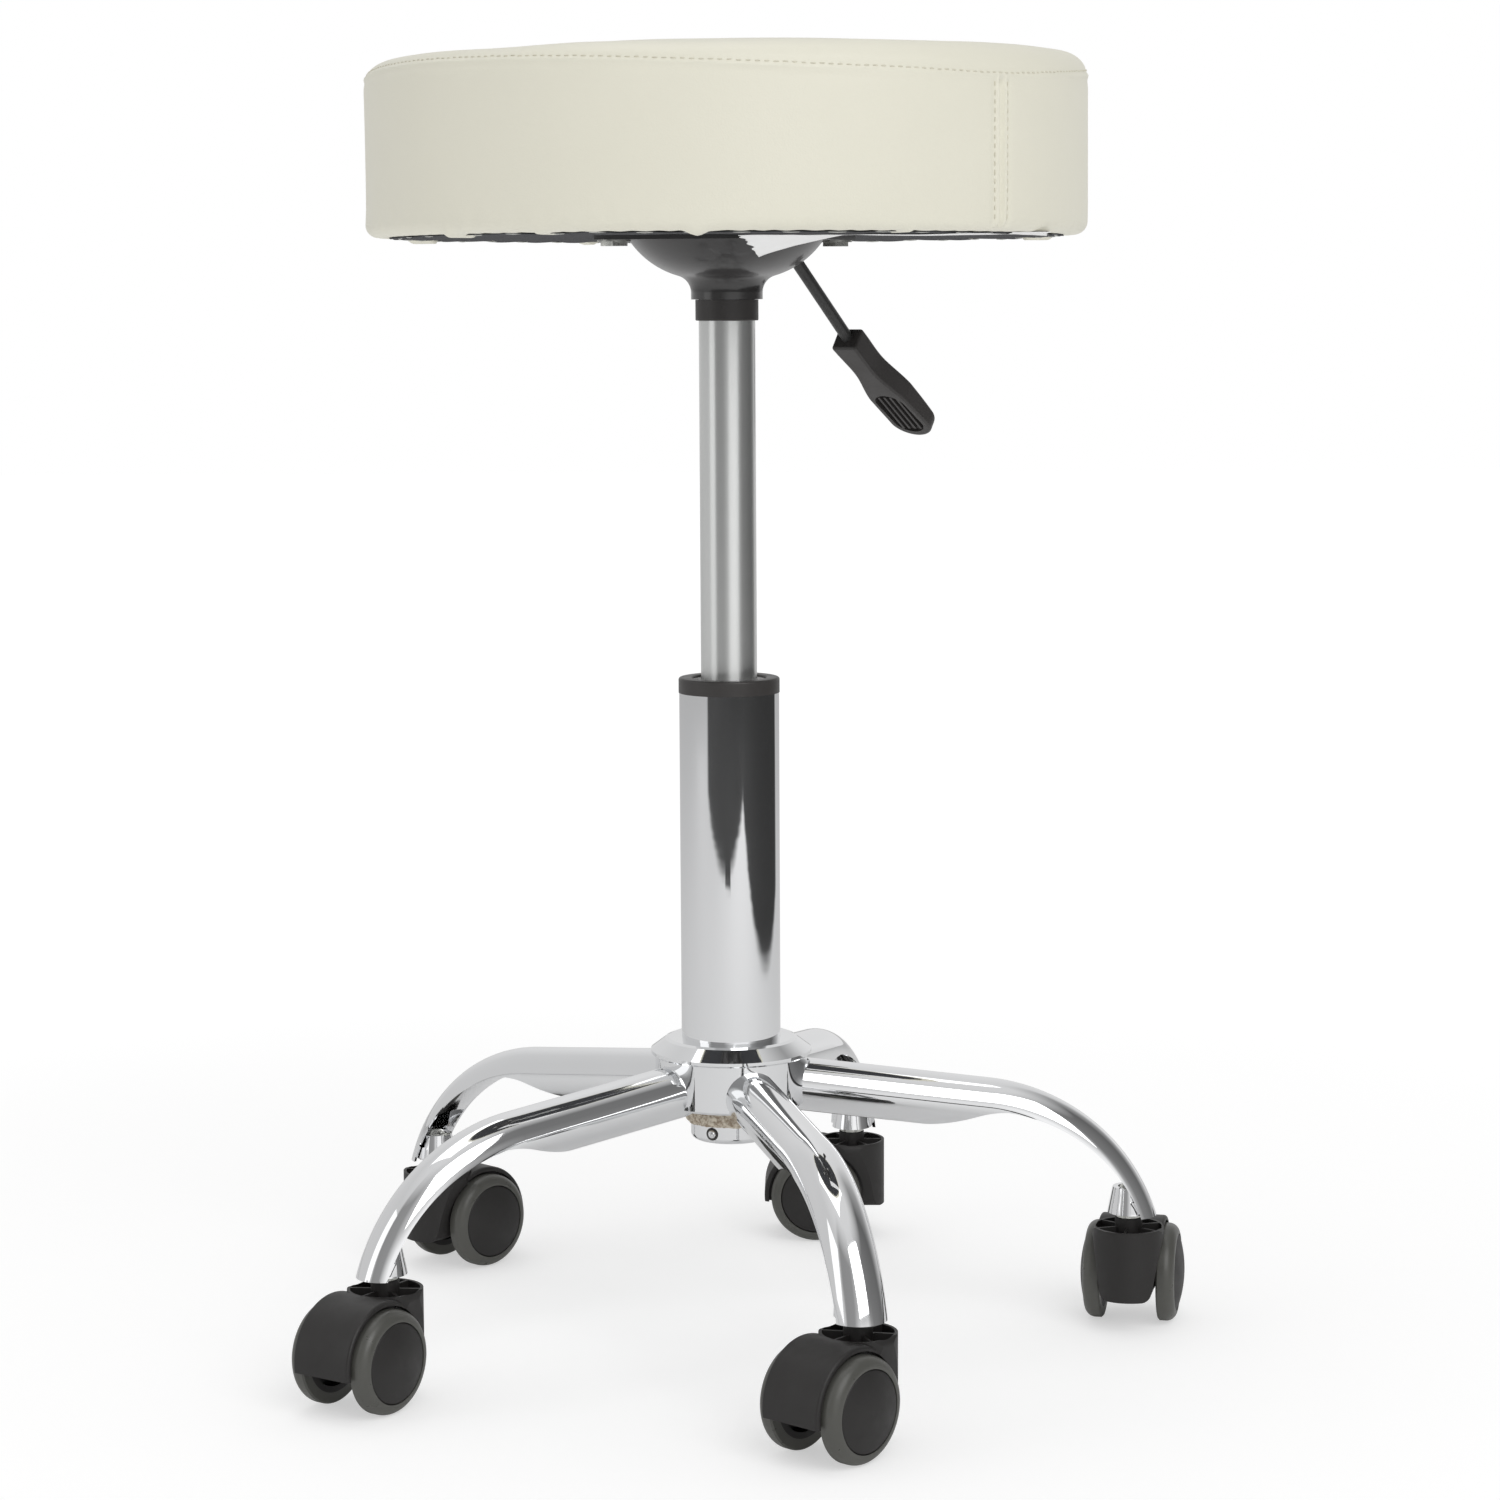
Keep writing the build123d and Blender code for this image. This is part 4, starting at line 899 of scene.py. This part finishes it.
def build_dust_cloth():
    """Charcoal cloth over the underside, its rim turned in and stapled over the hem."""
    angles = full_turn(1)
    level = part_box("dust_cover")[0][2]
    sagging = CLOTH_R - CLOTH_FLAT_R
    rows = [CLOTH_FLAT_R * k / FLAT_ROWS for k in range(1, FLAT_ROWS + 1)]
    rows += [CLOTH_FLAT_R + sagging * k / SAGGING_ROWS for k in range(1, SAGGING_ROWS + 1)]
    top = [Vector((0, 0, level))]
    faces = []
    for row, radius in enumerate(rows):
        for angle in angles:
            out = max(0.0, (radius - CLOTH_FLAT_R) / sagging)
            r = radius
            if row == len(rows) - 1:
                r += 0.8 * MM * noise.noise(Vector((angle * 9, 0, 7)))
            droop = math.sin(math.pi * min(1.0, out * 1.04)) * CLOTH_SAG
            ruck = noise.noise(Vector((angle * 7, radius * 18, 2))) * 0.6 * MM * out
            tuck = abs(math.sin(angle * STAPLE_COUNT / 2)) * 0.5 * MM * bell(radius - STAPLE_R, 7 * MM)
            drop = droop + ruck + tuck + 1.0 * MM * max(0.0, (out - 0.8) / 0.2)
            top.append(Vector((r * math.cos(angle), r * math.sin(angle), level - max(0.0, drop))))
    count = len(angles)
    for k in range(count):
        faces.append((0, 1 + k, 1 + (k + 1) % count))
    for row in range(len(rows) - 1):
        a, b = 1 + row * count, 1 + (row + 1) * count
        for k in range(count):
            faces.append((a + k, b + k, b + (k + 1) % count, a + (k + 1) % count))
    mesh = bpy.data.meshes.new("seat_dust_cloth")
    mesh.from_pydata(top, [], faces)
    mesh.update()
    cloth = new_piece("seat_dust_cloth", mesh, finishes["dust_cloth"], "seat")
    solid = cloth.modifiers.new("thickness", "SOLIDIFY")
    solid.thickness = CLOTH_THICK
    solid.offset = 1.0
    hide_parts("dust_cover")
    return cloth


def build_staples(cloth):
    """Flat wire staples through the turned rim."""
    surface = BVHTree.FromObject(cloth, bpy.context.evaluated_depsgraph_get())
    bm = bmesh.new()
    rng = random.Random(5)
    for k in range(STAPLE_COUNT):
        angle = 2 * math.pi * k / STAPLE_COUNT
        radius = STAPLE_R + rng.uniform(-1.5, 1.5) * MM
        start = Vector((radius * math.cos(angle), radius * math.sin(angle), SEAT_BOTTOM - 40 * MM))
        hit, _, _, _ = surface.ray_cast(start, Vector((0, 0, 1)))
        if hit is None:
            continue
        turn = angle + math.pi / 2 + rng.uniform(-0.25, 0.25)
        along = Vector((math.cos(turn), math.sin(turn), 0))
        stitch(bm, hit, along, Vector((0, 0, -1)), STAPLE_LENGTH, STAPLE_THICK)
    mesh = bpy.data.meshes.new("seat_staples")
    bm.to_mesh(mesh)
    bm.free()
    new_piece("seat_staples", mesh, finishes["zinc_steel"], "seat")


# ---------------------------------------------------------------- torn label under the seat

LABEL_LENGTH = 146 * MM
LABEL_WIDTH = 34 * MM
LABEL_SKEW = 10 * MM  # how far the label strays sideways along its length
LABEL_START = Vector((8 * MM, -103 * MM, 0))
LABEL_SLOPE = 9 * MM  # the torn end slopes across the label
LABEL_PEELED = 50 * MM  # length of the end that has come away
LABEL_DROP = 11 * MM
LABEL_THICK = 0.18 * MM
LABEL_COLUMNS, LABEL_ROWS = 88, 22


def build_label(cloth):
    """Blank white label stuck under the seat, its torn end hanging down in front of the bowl."""
    surface = BVHTree.FromObject(cloth, bpy.context.evaluated_depsgraph_get())
    points, faces = [], []
    for j in range(LABEL_ROWS + 1):
        across = j / LABEL_ROWS
        coarse = 2.6 * noise.noise(Vector((across * 9, 4, 0)))
        fine = 1.5 * noise.noise(Vector((across * 31, 8, 0)))
        for i in range(LABEL_COLUMNS + 1):
            along = i / LABEL_COLUMNS
            start = ((coarse + fine) * MM + LABEL_SLOPE * across) * (1 - along) ** 8
            x = LABEL_START.x + start + LABEL_LENGTH * along
            y = LABEL_START.y + LABEL_WIDTH * across + LABEL_SKEW * along
            hit, _, _, _ = surface.ray_cast(Vector((x, y, SEAT_BOTTOM - 50 * MM)), Vector((0, 0, 1)))
            level = (hit.z if hit else SEAT_BOTTOM) - 0.35 * MM
            peeled = max(0.0, 1 - LABEL_LENGTH * along / LABEL_PEELED)
            drop = LABEL_DROP * peeled * across ** 1.3
            ruck = 0.35 * MM * noise.noise(Vector((x * 60, y * 60, 5))) * (0.3 + peeled)
            points.append((x, y, level - drop - abs(ruck)))
    wide = LABEL_COLUMNS + 1
    for j in range(LABEL_ROWS):
        for i in range(LABEL_COLUMNS):
            faces.append((j * wide + i, (j + 1) * wide + i, (j + 1) * wide + i + 1, j * wide + i + 1))
    mesh = bpy.data.meshes.new("seat_blank_label")
    mesh.from_pydata(points, [], faces)
    mesh.update()
    label = new_piece("seat_blank_label", mesh, paper_finish, "seat")
    solid = label.modifiers.new("thickness", "SOLIDIFY")
    solid.thickness = LABEL_THICK
    solid.offset = 1.0


# ---------------------------------------------------------------- foot of the column

RING_BUMP = 0.55 * MM
RING_WIDTH = 5.5 * MM
RIVET_AZIMUTH = math.radians(-117)
# (height from the cap's surface, radius) in mm, from the cap outward
RIVET_SHAPE = ((0.0, 2.3), (0.9, 2.2), (1.5, 1.8), (1.9, 1.2), (2.1, 0.5), (2.2, 0))
# Black dished disc under the rivet: painted shade of the slot that the rivet sits in.
SLOT_SHADE_SHAPE = ((0.0, 3.3), (0.5, 3.3), (0.75, 3.0), (0.8, 2.2), (0.3, 0))


def build_filler_ring():
    """Rough cast filler squeezed out round the column's foot."""
    low, high = (Vector(corner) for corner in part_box("hub_weld_ring"))
    outer = (high.x - low.x) / 2
    inner = outer - RING_WIDTH
    depth = high.z - low.z
    corners = [
        (inner, high.z), (outer, high.z), (outer + 0.2 * MM, high.z - 0.35 * depth),
        (outer - 0.8 * MM, high.z - 0.75 * depth), (outer - 2.4 * MM, low.z),
        (inner + 1.2 * MM, low.z - 0.1 * MM), (inner, low.z + 0.12 * depth),
    ]
    outline = []
    for start, end in zip(corners, corners[1:]):
        outline += [Vector(start).lerp(Vector(end), k / 6) for k in range(6)]
    outline.append(Vector(corners[-1]))
    outline.append(Vector(corners[0]))
    vertices, faces = lathe(outline, full_turn(1))
    mesh = bpy.data.meshes.new("column_filler_ring")
    mesh.from_pydata(vertices, [], faces)
    bm = bmesh.new()
    bm.from_mesh(mesh)
    bmesh.ops.remove_doubles(bm, verts=bm.verts, dist=0.01 * MM)
    bmesh.ops.recalc_face_normals(bm, faces=bm.faces)
    bm.normal_update()
    for vertex in bm.verts:
        if vertex.co.z < high.z - 0.5 * MM:
            place = vertex.co
            lumps = noise.noise(place * 210) + 0.7 * noise.noise(place * 520)
            vertex.co = place + vertex.normal * (lumps * RING_BUMP)
    bm.to_mesh(mesh)
    bm.free()
    ring = new_piece("column_filler_ring", mesh, finishes["filler"], "base")
    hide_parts("hub_weld_ring")


def build_cap_rivet():
    """Small domed rivet on the column's bottom cap, on a black dished disc that is the painted shade of the
    slot round it.
    """
    low, high = (Vector(corner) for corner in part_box("bottom_cap"))
    radius = (high.x - low.x) / 2
    outward = Vector((math.cos(RIVET_AZIMUTH), math.sin(RIVET_AZIMUTH), 0))
    centre = outward * (radius - 0.5 * MM)
    centre.z = low.z + 0.56 * (high.z - low.z)
    turn = outward.to_track_quat("Z", "Y").to_matrix()
    for name, slot_name, shape in (
        ("bottom_cap_rivet", "chrome", RIVET_SHAPE),
        ("bottom_cap_slot_shade", "black_plastic", SLOT_SHADE_SHAPE),
    ):
        profile = [Vector((r * MM, h * MM)) for h, r in reversed(shape)] + [Vector((0, 0))]
        vertices, faces = lathe(profile, full_turn(10))
        mesh = bpy.data.meshes.new(name)
        places = [centre + turn @ Vector(vertex) for vertex in vertices]
        mesh.from_pydata(places, [], [tuple(reversed(face)) for face in faces])
        new_piece(name, mesh, finishes[slot_name], "base")


cover = build_cover()
build_stitches(cover)
dust = build_dust_cloth()
build_staples(dust)
build_label(dust)
build_filler_ring()
build_cap_rivet()
